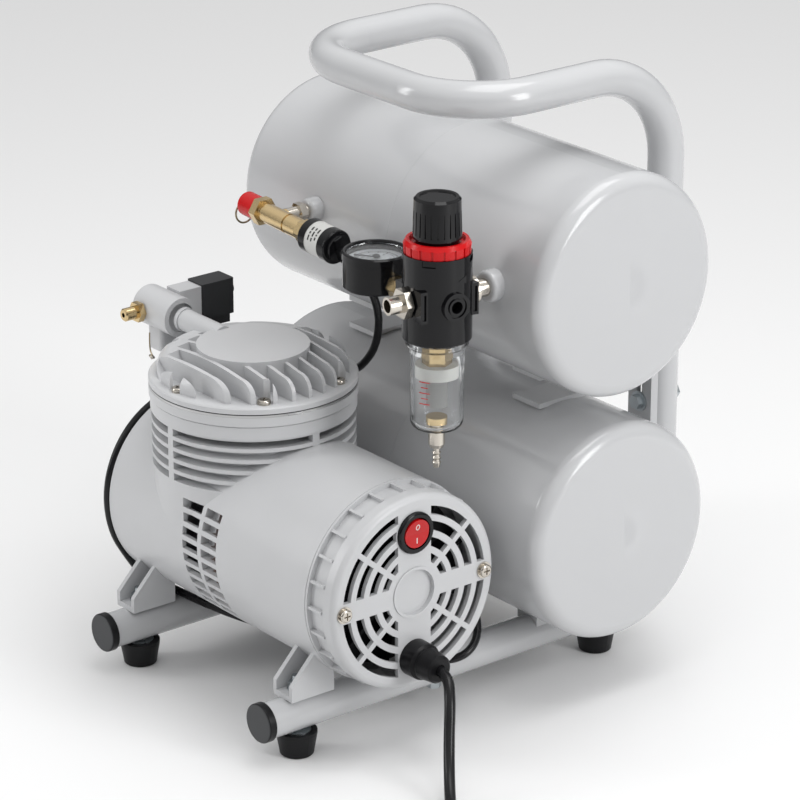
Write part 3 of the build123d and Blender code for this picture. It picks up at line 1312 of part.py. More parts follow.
# The rocker is wedge-topped: its upper half stands proud while the switch is off.
with BuildPart() as switch_rocker:
    face = facing_x(COVER_X1 - 3.2, MOTOR_Y, MOTOR_Z + SWITCH_UP)
    with BuildSketch(face):
        Circle(ROCKER_R)
    extrude(amount=7.4)
    with BuildSketch(side_section(MOTOR_Y - 20)):
        with Locations((COVER_X1 + 2.6, MOTOR_Z + SWITCH_UP)):
            Polygon((4, 11), (1.6, 11), (-0.4, 0), (-0.3, -11), (4, -11), align=None)
    extrude(amount=-40, mode=Mode.SUBTRACT)
write(switch_rocker, "switch_rocker")

RELIEF_L = 24.0
relief_z = MOTOR_Z - RELIEF_DOWN
with BuildPart() as strain_relief:
    with BuildSketch(Plane(origin=(0, MOTOR_Y, relief_z), x_dir=(1, 0, 0), z_dir=(0, -1, 0))):
        Polygon(
            (COVER_X1 - 6, CORD_D / 2 + 0.1), (COVER_X1 - 6, 7.1), (COVER_X1 + 0.05, 7.1),
            (COVER_X1 + 0.05, 11.2), (COVER_X1 + 9.5, 11.0), (COVER_X1 + 10.5, 9.6),
            (COVER_X1 + 12.0, 9.4), (COVER_X1 + 12.8, 9.6), (COVER_X1 + 22.4, 8.4),
            (COVER_X1 + RELIEF_L, 6.9), (COVER_X1 + RELIEF_L, CORD_D / 2 + 0.1), align=None,
        )
    revolve(axis=Axis((0, MOTOR_Y, relief_z), (1, 0, 0)))
write(strain_relief, "strain_relief")

floor_z = CORD_D / 2 + 0.1
COIL_X, COIL_Y = 261.0, -176.0
COIL_INNER, COIL_OUTER = 23.4, 43.2
COIL_H = 19.0
relief_end = COVER_X1 + RELIEF_L
cord_points = [
    (relief_end - 4.0, MOTOR_Y, relief_z),
    (relief_end + 7.0, MOTOR_Y, relief_z),
    (relief_end + 18.0, MOTOR_Y - 7.5, relief_z - 11.0),
    (relief_end + 25.0, MOTOR_Y - 14.0, relief_z - 28.5),
    (relief_end + 35.0, MOTOR_Y - 22.0, relief_z - 45.0),
    (relief_end + 49.5, MOTOR_Y - 33.0, floor_z + 1.3),
    (relief_end + 66.0, MOTOR_Y - 45.0, floor_z),
    (relief_end + 84.0, MOTOR_Y - 54.5, floor_z),
    (relief_end + 98.0, MOTOR_Y - 58.5, floor_z),
]
power_cord, cord_run = tube_along(cord_points, CORD_D / 2, first_run(cord_points))
write(power_cord, "power_cord")

with BuildPart() as cord_coil:
    with BuildSketch(upright(COIL_X, COIL_Y, 0.1)):
        Circle(COIL_OUTER)
        Circle(COIL_INNER, mode=Mode.SUBTRACT)
    extrude(amount=COIL_H)
write(cord_coil, "cord_coil")

# From the coil's top turn the lead comes down to its plug, which lies beside the coil.
PLUG_L, PLUG_W, PLUG_T = 36.0, 34.0, 14.0
PLUG_Z = PLUG_T / 2 + 0.1
tail_points = [
    (COIL_X + 44.6, COIL_Y - 16.0, 13.0),
    (COIL_X + 46.0, COIL_Y - 36.0, 6.0),
    (COIL_X + 40.5, COIL_Y - 53.0, floor_z + 0.3),
    (COIL_X + 27.0, COIL_Y - 64.0, floor_z + 1.0),
    (COIL_X + 10.0, COIL_Y - 67.5, PLUG_Z),
]
cord_tail, tail_run = tube_along(tail_points, CORD_D / 2, first_run(tail_points))
write(cord_tail, "cord_tail")
print("left for the coil", round(CORD_LENGTH - cord_run - tail_run))

PIN_GAP = 19.0
plug_end = Plane(origin=(COIL_X + 8.8, COIL_Y - 67.5, PLUG_Z), x_dir=(0, 1, 0), z_dir=(-1, 0, 0))
with BuildPart() as power_plug:
    with BuildSketch(plug_end):
        Circle(5.2)
    extrude(amount=10)
    with BuildSketch(plug_end.offset(8)):
        RectangleRounded(16, PLUG_T, 6)
    with BuildSketch(plug_end.offset(24)):
        RectangleRounded(PLUG_W, PLUG_T, 6)
    loft()
    with BuildSketch(plug_end.offset(24)):
        RectangleRounded(PLUG_W, PLUG_T, 6)
    extrude(amount=PLUG_L - 24)
    with BuildSketch(plug_end.offset(PLUG_L)):
        with Locations((PIN_GAP / 2, 0), (-PIN_GAP / 2, 0)):
            Circle(2.4)
    extrude(amount=19)
write(power_plug, "power_plug")

# ---------------------------------------------------------------- drain and bolts
DRAIN_TOP = drain_z - 4.05
TAP_Z = 20.0
TAP_R = 3.0
with BuildPart() as drain_valve:
    with BuildSketch(upright(DRAIN_X, TANK_Y, DRAIN_TOP - 7)):
        RegularPolygon(8, 6)
    extrude(amount=7)
    with BuildSketch(upright(DRAIN_X, TANK_Y, DRAIN_TOP)):
        Circle(3.95)
    extrude(amount=8)
    with BuildSketch(upright(DRAIN_X, TANK_Y, TAP_Z - 8)):
        Circle(6.4)
    extrude(amount=DRAIN_TOP - 7 - TAP_Z + 8)
    with BuildSketch(upright(DRAIN_X, TANK_Y, TAP_Z - 12)):
        Circle(3.4)
    extrude(amount=4)
    with BuildSketch(upright(DRAIN_X, TANK_Y, TAP_Z - 12)):
        Circle(1.8)
    extrude(amount=34, mode=Mode.SUBTRACT)
    with BuildSketch(side_section(TANK_Y - 10)):
        with Locations((DRAIN_X, TAP_Z)):
            Circle(TAP_R)
    extrude(amount=-20, mode=Mode.SUBTRACT)
write(drain_valve, "drain_valve")

with BuildPart() as drain_tap:
    with BuildSketch(side_section(TANK_Y - 9)):
        with Locations((DRAIN_X, TAP_Z)):
            Circle(TAP_R - 0.05)
    extrude(amount=-17)
    with BuildSketch(side_section(TANK_Y - 8)):
        with Locations((DRAIN_X, TAP_Z)):
            RectangleRounded(16, 5, 2.4)
    extrude(amount=5)
write(drain_tap, "drain_tap")

NUT_Z = RAIL_TOP + LUG_BASE_T
NUT_R = 4.6
NUT_H = 4.0
BOLT_END = 50.0
with BuildPart() as frame_bolts:
    for x, y, side in lug_spots:
        head_z = 1.4 if y == FOOT_FRONT_Y else RAIL_BOTTOM - 3.6
        head_top = FOOT_COUNTERBORE if y == FOOT_FRONT_Y else RAIL_BOTTOM - 0.05
        with BuildSketch(upright(x, y, head_z)):
            RegularPolygon(NUT_R, 6)
        extrude(amount=head_top - head_z)
        with BuildSketch(upright(x, y, head_z)):
            Circle(BOLT_R)
        extrude(amount=BOLT_END - head_z)
        with BuildSketch(upright(x, y, NUT_Z + 0.05)):
            Circle(5.4)
        extrude(amount=1.0)
        with BuildSketch(upright(x, y, NUT_Z + 1.05)):
            RegularPolygon(NUT_R, 6)
        extrude(amount=NUT_H)
    for mid in BRACKET_MIDS:
        front = side_section(bracket_y0 - 0.05)
        with BuildSketch(front):
            with Locations((mid, BRACKET_BOLT_Z)):
                Circle(6.4)
        extrude(amount=1.2)
        with BuildSketch(front):
            with Locations((mid, BRACKET_BOLT_Z)):
                RegularPolygon(NUT_R, 6)
        extrude(amount=4.6)
        with BuildSketch(front):
            with Locations((mid, BRACKET_BOLT_Z)):
                Circle(BOLT_R)
        extrude(amount=-(UPRIGHT_Y + TUBE_R + NUT_H + 0.5 - bracket_y0))
        with BuildSketch(side_section(UPRIGHT_Y + TUBE_R + 0.05)):
            with Locations((mid, BRACKET_BOLT_Z)):
                RegularPolygon(NUT_R, 6)
        extrude(amount=-NUT_H)
write(frame_bolts, "frame_bolts")
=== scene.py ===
from math import atan2, cos, pi, radians, sin, tau

import bmesh
import bpy
from mathutils import Matrix, Vector


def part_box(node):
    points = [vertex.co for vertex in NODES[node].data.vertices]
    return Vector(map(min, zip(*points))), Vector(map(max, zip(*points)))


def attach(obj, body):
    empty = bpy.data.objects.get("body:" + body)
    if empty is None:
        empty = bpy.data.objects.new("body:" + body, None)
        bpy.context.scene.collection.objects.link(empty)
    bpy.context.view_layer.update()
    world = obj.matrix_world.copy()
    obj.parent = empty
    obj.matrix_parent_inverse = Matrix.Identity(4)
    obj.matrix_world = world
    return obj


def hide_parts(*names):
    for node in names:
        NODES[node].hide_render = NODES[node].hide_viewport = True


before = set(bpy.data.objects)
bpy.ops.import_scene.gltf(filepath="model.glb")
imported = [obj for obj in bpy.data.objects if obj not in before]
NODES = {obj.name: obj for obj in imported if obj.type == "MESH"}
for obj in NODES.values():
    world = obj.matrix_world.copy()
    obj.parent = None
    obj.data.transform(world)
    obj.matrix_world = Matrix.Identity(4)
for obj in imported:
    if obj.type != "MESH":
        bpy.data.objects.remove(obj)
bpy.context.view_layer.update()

ROOT = "compressor"
MM = 0.001

# ---------------------------------------------------------------- places, from the frame (metres)


def middle(node):
    """The middle of a CAD node's box."""
    low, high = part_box(node)
    return (Vector(low) + Vector(high)) / 2


def corners(node):
    """The lowest and highest corner of a CAD node's box."""
    low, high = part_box(node)
    return Vector(low), Vector(high)


SWITCH = middle("switch_bezel")
COVER_X = corners("fan_cover")[1].x - 0.8 * MM
BOWL = middle("filter_bowl")
REGULATOR_TURN = radians(-8)
GAUGE = middle("gauge_lens")
DIAL_TOP = corners("gauge_dial")[1].z
COIL = middle("cord_coil")
VALVE_TILT = radians(3)
TEE = Vector((-66.4, -29.9, 268.2)) * MM


# ---------------------------------------------------------------- camera and light
CAMERA_PLACE = (1.6342, -1.2915, 0.9705)
CAMERA_TILT = radians(90 - 21.18)
CAMERA_TURN = radians(51.43)
CAMERA_LENS = 166.2
LIT_MIDDLE = (0, 0.02, 0.16)
FLOOR_REACH = 6.0


def add_camera():
    """The viewing angle: from the motor's front and its fan end, a little above."""
    data = bpy.data.cameras.new("camera")
    data.sensor_width = 36
    data.lens = CAMERA_LENS
    data.clip_end = 20
    camera = bpy.data.objects.new("camera", data)
    camera.location = CAMERA_PLACE
    camera.rotation_euler = (CAMERA_TILT, 0, CAMERA_TURN)
    bpy.context.scene.collection.objects.link(camera)
    bpy.context.scene.camera = camera


def area_light(name, place, size, power):
    """A soft rectangular light that looks at the machine's middle."""
    data = bpy.data.lights.new(name, "AREA")
    data.shape = "RECTANGLE"
    data.size, data.size_y = size
    data.energy = power
    light = bpy.data.objects.new(name, data)
    light.location = place
    aim = Vector(LIT_MIDDLE) - Vector(place)
    light.rotation_euler = aim.to_track_quat("-Z", "Y").to_euler()
    bpy.context.scene.collection.objects.link(light)


def add_lights():
    """A studio: pale above and dim low down, with soft boxes above, at the fan end and at the front."""
    world = bpy.data.worlds.new("studio")
    bpy.context.scene.world = world
    bpy.context.scene.view_settings.view_transform = "Standard"
    world.use_nodes = True
    tree = world.node_tree
    back = tree.nodes["Background"]
    split = tree.nodes.new("ShaderNodeSeparateXYZ")
    tree.links.new(tree.nodes.new("ShaderNodeTexCoord").outputs["Generated"], split.inputs["Vector"])
    shade = tree.nodes.new("ShaderNodeValToRGB")
    tree.links.new(split.outputs["Z"], shade.inputs["Fac"])
    tree.links.new(shade.outputs["Color"], back.inputs["Color"])
    ramp = shade.color_ramp
    level, overhead = ramp.elements
    level.position, level.color = 0.0, (0.10, 0.102, 0.106, 1)
    overhead.position, overhead.color = 0.65, (1.0, 1.0, 1.0, 1)
    low_sky = ramp.elements.new(0.2)
    low_sky.color = (0.16, 0.162, 0.168, 1)
    back.inputs["Strength"].default_value = 0.86
    area_light("overhead", (0.25, 0.2, 1.5), (1.1, 0.7), 8)
    area_light("fan_side", (1.7, 0.45, 0.75), (0.55, 1.0), 13)
    area_light("front", (-0.75, -1.1, 0.6), (0.25, 0.8), 4.5)


def add_floor():
    """A plain pale floor that the machine stands on."""
    mesh = bpy.data.meshes.new("floor")
    far = FLOOR_REACH
    mesh.from_pydata([(-far, -far, 0), (far, -far, 0), (far, far, 0), (-far, far, 0)], [], [(0, 1, 2, 3)])
    floor = bpy.data.objects.new("floor", mesh)
    bpy.context.scene.collection.objects.link(floor)
    floor.data.materials.append(plain("floor_paint", (0.86, 0.86, 0.86), roughness=0.6, grain=0))


# ---------------------------------------------------------------- materials
RELIEF_DEPTH = 0.4 * MM
PATCHES_PER_METRE = 28


def shader(name):
    """A new material and its Principled shader."""
    material = bpy.data.materials.new(name)
    material.use_nodes = True
    return material, material.node_tree, material.node_tree.nodes["Principled BSDF"]


def place_coordinates(tree):
    """Each surface point's place in the machine's own frame, in metres."""
    return tree.nodes.new("ShaderNodeTexCoord").outputs["Object"]


def noise(tree, scale, detail=3.0):
    """A noise field in the machine's own frame; scale is in patches per metre."""
    node = tree.nodes.new("ShaderNodeTexNoise")
    node.inputs["Scale"].default_value = scale
    node.inputs["Detail"].default_value = detail
    tree.links.new(place_coordinates(tree), node.inputs["Vector"])
    return node.outputs["Fac"]


def spread(tree, field, low, high):
    """Maps a noise field's usual range to low..high."""
    node = tree.nodes.new("ShaderNodeMapRange")
    node.inputs["From Min"].default_value = 0.3
    node.inputs["From Max"].default_value = 0.7
    node.inputs["To Min"].default_value = low
    node.inputs["To Max"].default_value = high
    tree.links.new(field, node.inputs["Value"])
    return node.outputs["Result"]


def mix_sockets(node):
    """A Mix node's sockets for its data type: factor, first value, second value and result."""
    kind = node.data_type
    first, result = {"RGBA": (6, 2), "FLOAT": (2, 0)}[kind]
    return node.inputs[0], node.inputs[first], node.inputs[first + 1], node.outputs[result]


def tinted(tree, field, color, depth):
    """The colour, a little darker where the field is low."""
    node = tree.nodes.new("ShaderNodeMix")
    node.data_type = "RGBA"
    factor, dark, light, result = mix_sockets(node)
    dark.default_value = (*[c * (1 - depth) for c in color], 1)
    light.default_value = (*[min(1, c * (1 + depth * 0.5)) for c in color], 1)
    tree.links.new(field, factor)
    return result


def add_relief(tree, bsdf, field, bump):
    """Turns a noise field into the surface's fine relief."""
    relief = tree.nodes.new("ShaderNodeBump")
    relief.inputs["Strength"].default_value = bump
    relief.inputs["Distance"].default_value = RELIEF_DEPTH
    tree.links.new(field, relief.inputs["Height"])
    tree.links.new(relief.outputs["Normal"], bsdf.inputs["Normal"])


def plain(
    name, color, roughness=0.4, metallic=0.0, grain=900, bump=0.02, depth=0.05, coat=0.0,
    rough_spread=0.04, specular=0.5,
):
    """A finish with fine grain in its colour, its gloss and its relief."""
    material, tree, bsdf = shader(name)
    bsdf.inputs["Metallic"].default_value = metallic
    bsdf.inputs["Coat Weight"].default_value = coat
    bsdf.inputs["Coat Roughness"].default_value = 0.1
    bsdf.inputs["Specular IOR Level"].default_value = specular
    if not grain:
        bsdf.inputs["Base Color"].default_value = (*color, 1)
        bsdf.inputs["Roughness"].default_value = roughness
        return material
    fine = noise(tree, grain)
    broad = noise(tree, PATCHES_PER_METRE, 2)
    tree.links.new(tinted(tree, spread(tree, broad, 0, 1), color, depth), bsdf.inputs["Base Color"])
    tree.links.new(
        spread(tree, broad, roughness - rough_spread, roughness + rough_spread), bsdf.inputs["Roughness"]
    )
    add_relief(tree, bsdf, fine, bump)
    return material


def banded(name, axis, edges, bands, grain=900, bump=0.02, specular=0.25):
    """A finish that changes along an axis: bands of (colour, roughness, metallic), split at the edges."""
    material, tree, bsdf = shader(name)
    bsdf.inputs["Specular IOR Level"].default_value = specular
    dot = tree.nodes.new("ShaderNodeVectorMath")
    dot.operation = "DOT_PRODUCT"
    dot.inputs[1].default_value = axis
    tree.links.new(place_coordinates(tree), dot.inputs[0])

    def stepped(values, kind):
        """The value that changes at each edge."""
        result = None
        for edge, before, after in zip(edges, values, values[1:]):
            over = tree.nodes.new("ShaderNodeMath")
            over.operation = "GREATER_THAN"
            over.inputs[1].default_value = edge
            tree.links.new(dot.outputs["Value"], over.inputs[0])
            mix = tree.nodes.new("ShaderNodeMix")
            mix.data_type = kind
            factor, first, second, mixed = mix_sockets(mix)
            tree.links.new(over.outputs[0], factor)
            if result is None:
                first.default_value = before
            else:
                tree.links.new(result, first)
            second.default_value = after
            result = mixed
        return result

    tree.links.new(stepped([(*b[0], 1) for b in bands], "RGBA"), bsdf.inputs["Base Color"])
    tree.links.new(stepped([b[1] for b in bands], "FLOAT"), bsdf.inputs["Roughness"])
    tree.links.new(stepped([b[2] for b in bands], "FLOAT"), bsdf.inputs["Metallic"])
    add_relief(tree, bsdf, noise(tree, grain), bump)
    return material


def clear(name, color, roughness, ior):
    """A clear moulded plastic or glass."""
    material, tree, bsdf = shader(name)
    bsdf.inputs["Base Color"].default_value = (*color, 1)
    bsdf.inputs["Transmission Weight"].default_value = 1.0
    bsdf.inputs["IOR"].default_value = ior
    tree.links.new(spread(tree, noise(tree, 60), roughness, roughness * 2), bsdf.inputs["Roughness"])
    return material


GREY = (0.53, 0.535, 0.545)
BRASS = (0.66, 0.50, 0.27)
NICKEL = (0.58, 0.54, 0.48)
ENAMEL = plain("grey_enamel", GREY, 0.2, grain=200, bump=0.006, depth=0.006, coat=0.3, rough_spread=0.01)
CAST_PAINT = plain(
    "grey_casting_paint", (0.55, 0.555, 0.565), 0.36, grain=1400, bump=0.06, depth=0.02, coat=0.1,
    rough_spread=0.02,
)
BLACK_GLOSS = plain("black_gloss_plastic", (0.006, 0.006, 0.007), 0.08, grain=500, bump=0.004, specular=0.28)
BLACK_SATIN = plain("black_satin_plastic", (0.008, 0.008, 0.009), 0.34, grain=1800, bump=0.05, specular=0.2)
CHARCOAL = plain("charcoal_plastic", (0.03, 0.031, 0.033), 0.42, grain=1800, bump=0.08, specular=0.3)
RUBBER = plain("black_rubber", (0.006, 0.006, 0.007), 0.45, grain=2200, bump=0.08, specular=0.25)
CORD_JACKET = plain("cord_jacket", (0.007, 0.007, 0.008), 0.28, grain=1200, bump=0.03, specular=0.3)
RED_GLOSS = plain("red_plastic", (0.56, 0.004, 0.006), 0.24, grain=500, bump=0.015, specular=0.3)
BRASS_METAL = plain("brass", BRASS, 0.2, 1.0, grain=1500, bump=0.02, depth=0.08)
BRASS_WIRE = plain("brass_wire", (0.34, 0.28, 0.19), 0.32, 1.0, grain=1500, bump=0.03)
NICKEL_METAL = plain("nickel_plate", NICKEL, 0.18, 1.0, grain=1500, bump=0.02)
ZINC_METAL = plain("zinc_plate", (0.50, 0.54, 0.56), 0.28, 1.0, grain=900, bump=0.04)
STEEL = plain("ground_steel", (0.50, 0.50, 0.50), 0.3, 1.0, grain=900, bump=0.03)
CAST_ALUMINIUM = plain("cast_aluminium", (0.55, 0.55, 0.55), 0.45, 1.0, grain=1300, bump=0.1)
IRON = plain("dark_iron", (0.10, 0.098, 0.095), 0.5, 0.8, grain=900, bump=0.08)
INK_BLACK = plain("black_print", (0.01, 0.01, 0.01), 0.5, grain=0, specular=0.3)
INK_WHITE = plain("white_print", (0.72, 0.68, 0.66), 0.45, grain=0)
INK_RED = plain("red_print", (0.55, 0.02, 0.02), 0.45, grain=0)
DIAL_WHITE = plain("dial_white", (0.62, 0.64, 0.67), 0.4, grain=600, bump=0.005)
PISTON_SEAL = plain("seal_plastic", (0.30, 0.22, 0.14), 0.5, grain=900, bump=0.04)


def rocker_red():
    """Red plastic that lets a little light through."""
    material = plain("lit_red_plastic", (0.6, 0.006, 0.008), 0.12, grain=500, bump=0.01, specular=0.35)
    bsdf = material.node_tree.nodes["Principled BSDF"]
    bsdf.inputs["Transmission Weight"].default_value = 0.2
    return material


def finish_nodes():
    """Gives every CAD node that stays visible its finish."""
    valve_axis = (cos(VALVE_TILT), 0, -sin(VALVE_TILT))
    tee_along = TEE.dot(Vector(valve_axis))
    label_from, label_to = tee_along + 40.0 * MM, tee_along + 52.0 * MM
    nipple_y = TEE.y + 6.4 * MM
    gauge_stem_x = GAUGE.x + 20.6 * MM
    filter_collar_z, filter_nut_z, drain_nut_z = 218.2 * MM, 226.1 * MM, 187.5 * MM
    winding_overhang, pin_length = 10 * MM, 18.9 * MM
    black, white = (0.006, 0.006, 0.007), (0.62, 0.62, 0.60)
    copper, iron = (0.55, 0.22, 0.09), (0.2, 0.2, 0.2)
    brass, nickel = (BRASS, 0.22, 1.0), (NICKEL, 0.22, 1.0)
    stator_low, stator_high = corners("stator")
    plug_low = corners("power_plug")[0]
    caps_y = corners("rail_end_caps")[0].y
    switch_black = (black, 0.2, 0.0)
    finishes = {
        ENAMEL: ("frame_tube", "upper_tank", "lower_tank", "tank_saddles", "rear_brackets"),
        CAST_PAINT: (
            "motor_casing", "rear_cover", "fan_cover", "cylinder_ring", "cylinder_head", "manifold",
        ),
        BLACK_GLOSS: ("switch_bezel", "regulator_body", "regulator_knob"),
        BLACK_SATIN: ("cooling_fan", "strain_relief"),
        RUBBER: ("rubber_feet", "head_gasket"),
        CHARCOAL: ("unloader_coil",),
        RED_GLOSS: ("safety_valve_cap", "lock_ring"),
        BRASS_METAL: (
            "manifold_nipple", "tank_fittings", "drain_valve", "drain_tap", "safety_valve_body",
            "adjusting_spindle",
        ),
        BRASS_WIRE: ("pull_ring",),
        NICKEL_METAL: ("fan_cover_screws", "head_screws", "port_nipples"),
        ZINC_METAL: ("foot_screws", "frame_bolts"),
        STEEL: ("shaft_bearings", "motor_shaft", "valve_plate"),
        CAST_ALUMINIUM: ("bearing_plate", "connecting_rod", "cylinder_liner"),
        IRON: ("rotor_core", "crank_disc"),
        PISTON_SEAL: ("piston_cup",),
        INK_BLACK: ("gauge_needle",),
        DIAL_WHITE: ("gauge_dial",),
        rocker_red(): ("switch_rocker",),
        clear("clear_bowl", (0.97, 0.98, 0.985), 0.03, 1.42): ("filter_bowl",),
        clear("gauge_glass", (0.97, 0.98, 0.98), 0.02, 1.3): ("gauge_lens",),
        banded(
            "rail_cap_plastic", (0, 1, 0), (caps_y + 0.3 * MM,),
            (((0.05, 0.052, 0.055), 0.42, 0.0), (black, 0.3, 0.0)), 1800, 0.06,
        ): ("rail_end_caps",),
        banded(
            "stator_finish", (1, 0, 0), (stator_low.x + winding_overhang, stator_high.x - winding_overhang),
            ((copper, 0.4, 0.6), (iron, 0.5, 0.7), (copper, 0.4, 0.6)), 700, 0.2,
        ): ("stator",),
        banded(
            "tee_finish", (0, 1, 0), (nipple_y,), (brass, nickel), 1500
        ): ("tee_fitting",),
        banded(
            "switch_finish", valve_axis, (label_from, label_to),
            (switch_black, (white, 0.45, 0.0), switch_black), 900,
        ): ("pressure_switch",),
        banded(
            "gauge_finish", (1, 0, 0), (gauge_stem_x,), ((black, 0.14, 0.0), brass), 900, 0.01,
        ): ("gauge_case",),
        banded(
            "filter_finish", (0, 0, 1), (filter_collar_z, filter_nut_z),
            (((0.33, 0.33, 0.32), 0.7, 0.0), ((0.78, 0.78, 0.74), 0.4, 0.0), brass), 900,
        ): ("filter_element",),
        banded(
            "drain_finish", (0, 0, 1), (drain_nut_z,), (nickel, brass), 1500
        ): ("bowl_drain",),
        banded(
            "plug_finish", (1, 0, 0), (plug_low.x + pin_length,),
            (((0.7, 0.68, 0.62), 0.25, 1.0), ((0.02, 0.02, 0.021), 0.42, 0.0)), 1800, 0.06,
        ): ("power_plug",),
    }
    for material, names in finishes.items():
        for name in names:
            node = NODES[name]
            if not node.material_slots:
                node.data.materials.append(material)
            for place in node.material_slots:
                place.material = material


# ---------------------------------------------------------------- mesh helpers
def piece(name, mesh, material, body=ROOT, smooth=True):
    """Links a finished mesh as a piece that rides on a body."""
    obj = bpy.data.objects.new(name, mesh)
    bpy.context.scene.collection.objects.link(obj)
    mesh.materials.append(material)
    for polygon in mesh.polygons:
        polygon.use_smooth = smooth
    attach(obj, body)
    return obj


def mesh_of(name, build):
    """Makes a mesh with a bmesh function."""
    mesh = bpy.data.meshes.new(name)
    bm = bmesh.new()
    build(bm)
    bmesh.ops.recalc_face_normals(bm, faces=bm.faces)
    bm.to_mesh(mesh)
    bm.free()
    return mesh


def skin(bm, rings, around=False):
    """Joins each closed ring of points to the next one; around also joins the last to the first."""
    following = rings[1:] + rings[:1] if around else rings[1:]
    for here, there in zip(rings, following):
        for i in range(len(here)):
            j = (i + 1) % len(here)
            bm.faces.new((here[i], there[i], there[j], here[j]))


def axis_frame(place, axis):
    """The frame with its origin at a place and its Z along an axis."""
    return Matrix.Translation(place) @ Vector(axis).to_track_quat("Z", "Y").to_matrix().to_4x4()


def angle_towards(axis, way):
    """The angle about an axis, in that axis frame, that faces this way."""
    local = Vector(axis).to_track_quat("Z", "Y").to_matrix().inverted() @ Vector(way)
    return atan2(local.y, local.x)


def lathe(bm, profile, place, axis=(0, 0, 1), steps=48):
    """Turns a closed (radius, height) profile about an axis through a place."""
    world = axis_frame(place, axis)
    rings = []
    for k in range(steps):
        a = tau * k / steps
        rings.append([bm.verts.new(world @ Vector((r * cos(a), r * sin(a), z))) for r, z in profile])
    skin(bm, rings, around=True)


def rectangle(half_x, half_y):
    """The corners of a rectangle about the origin."""
    return [(-half_x, -half_y), (half_x, -half_y), (half_x, half_y), (-half_x, half_y)]


def slab(bm, outline, low, high, world):
    """A flat slab with this outline, between two heights, moved by a matrix."""
    bottom = [bm.verts.new(world @ Vector((x, y, low))) for x, y in outline]
    top = [bm.verts.new(world @ Vector((x, y, high))) for x, y in outline]
    bm.faces.new(bottom[::-1])
    bm.faces.new(top)
    for i in range(len(outline)):
        j = (i + 1) % len(outline)
        bm.faces.new((bottom[i], bottom[j], top[j], top[i]))


def curved_patch(bm, place, axis, radius, angles, along, thick=0.08 * MM, steps=8):
    """A thin patch on a round body: from angle to angle about the axis, and between two stations on it."""
    world = axis_frame(place, axis)
    rows = []
    for k in range(steps + 1):
        a = angles[0] + (angles[1] - angles[0]) * k / steps
        rows.append([
            bm.verts.new(world @ Vector((r * cos(a), r * sin(a), z)))
            for r, z in (
                (radius, along[0]), (radius, along[1]), (radius + thick, along[1]), (radius + thick, along[0])
            )
        ])
    skin(bm, rows)
    bm.faces.new(rows[0])
    bm.faces.new(rows[-1][::-1])


# ---------------------------------------------------------------- cords
CORD_D = 6.6 * MM
LEAD_D = 5.0 * MM
HOSE_D = 8.0 * MM
COIL_OUTER = 43.2 * MM
COIL_INNER = 23.4 * MM
CORD_ON_FLOOR = 3.4 * MM


def spline(name, points, diameter, material):
    """A round cord along a smooth NURBS curve through these control points."""
    curve = bpy.data.curves.new(name, "CURVE")
    curve.dimensions = "3D"
    curve.bevel_depth = diameter / 2
    curve.bevel_resolution = 5
    curve.resolution_u = 8
    curve.use_fill_caps = True
    line = curve.splines.new("NURBS")
    line.points.add(len(points) - 1)
    for point, place in zip(line.points, points):
        point.co = (*place, 1)
    line.order_u = 3
    line.use_endpoint_u = True
    curve.materials.append(material)
    obj = bpy.data.objects.new(name, curve)
    bpy.context.scene.collection.objects.link(obj)
    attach(obj, ROOT)
    return obj


def in_metres(points):
    """Places given in millimetres, as vectors in metres."""
    return [Vector(p) * MM for p in points]


def coil_turns(turns, start_angle, per_turn=16):
    """Control points of a neat coil, wound clockwise: inward, up a layer, outward and up again."""
    outer, inner = COIL_OUTER - CORD_D / 2, COIL_INNER + CORD_D / 2
    step_in = (outer - inner) / 2
    reach = 1 / cos(pi / per_turn)
    shifts = ((0.75, -1), (1.75, -1), (3.75, 1), (4.75, 1))
    rises = (2.55, 5.55)

    def passed(t, at):
        """How far a quarter-turn change that begins at this turn has gone, from 0 to 1."""
        return min(1, max(0, (t - at) / 0.25))

    points = []
    for k in range(int(turns * per_turn) + 1):
        t = k / per_turn
        radius = outer + sum(way * step_in * passed(t, at) for at, way in shifts)
        level = sum(passed(t, at) for at in rises)
        a = start_angle - tau * t
        points.append(Vector((
            COIL.x + radius * reach * cos(a), COIL.y + radius * reach * sin(a), CORD_ON_FLOOR + level * CORD_D
        )))
    return points


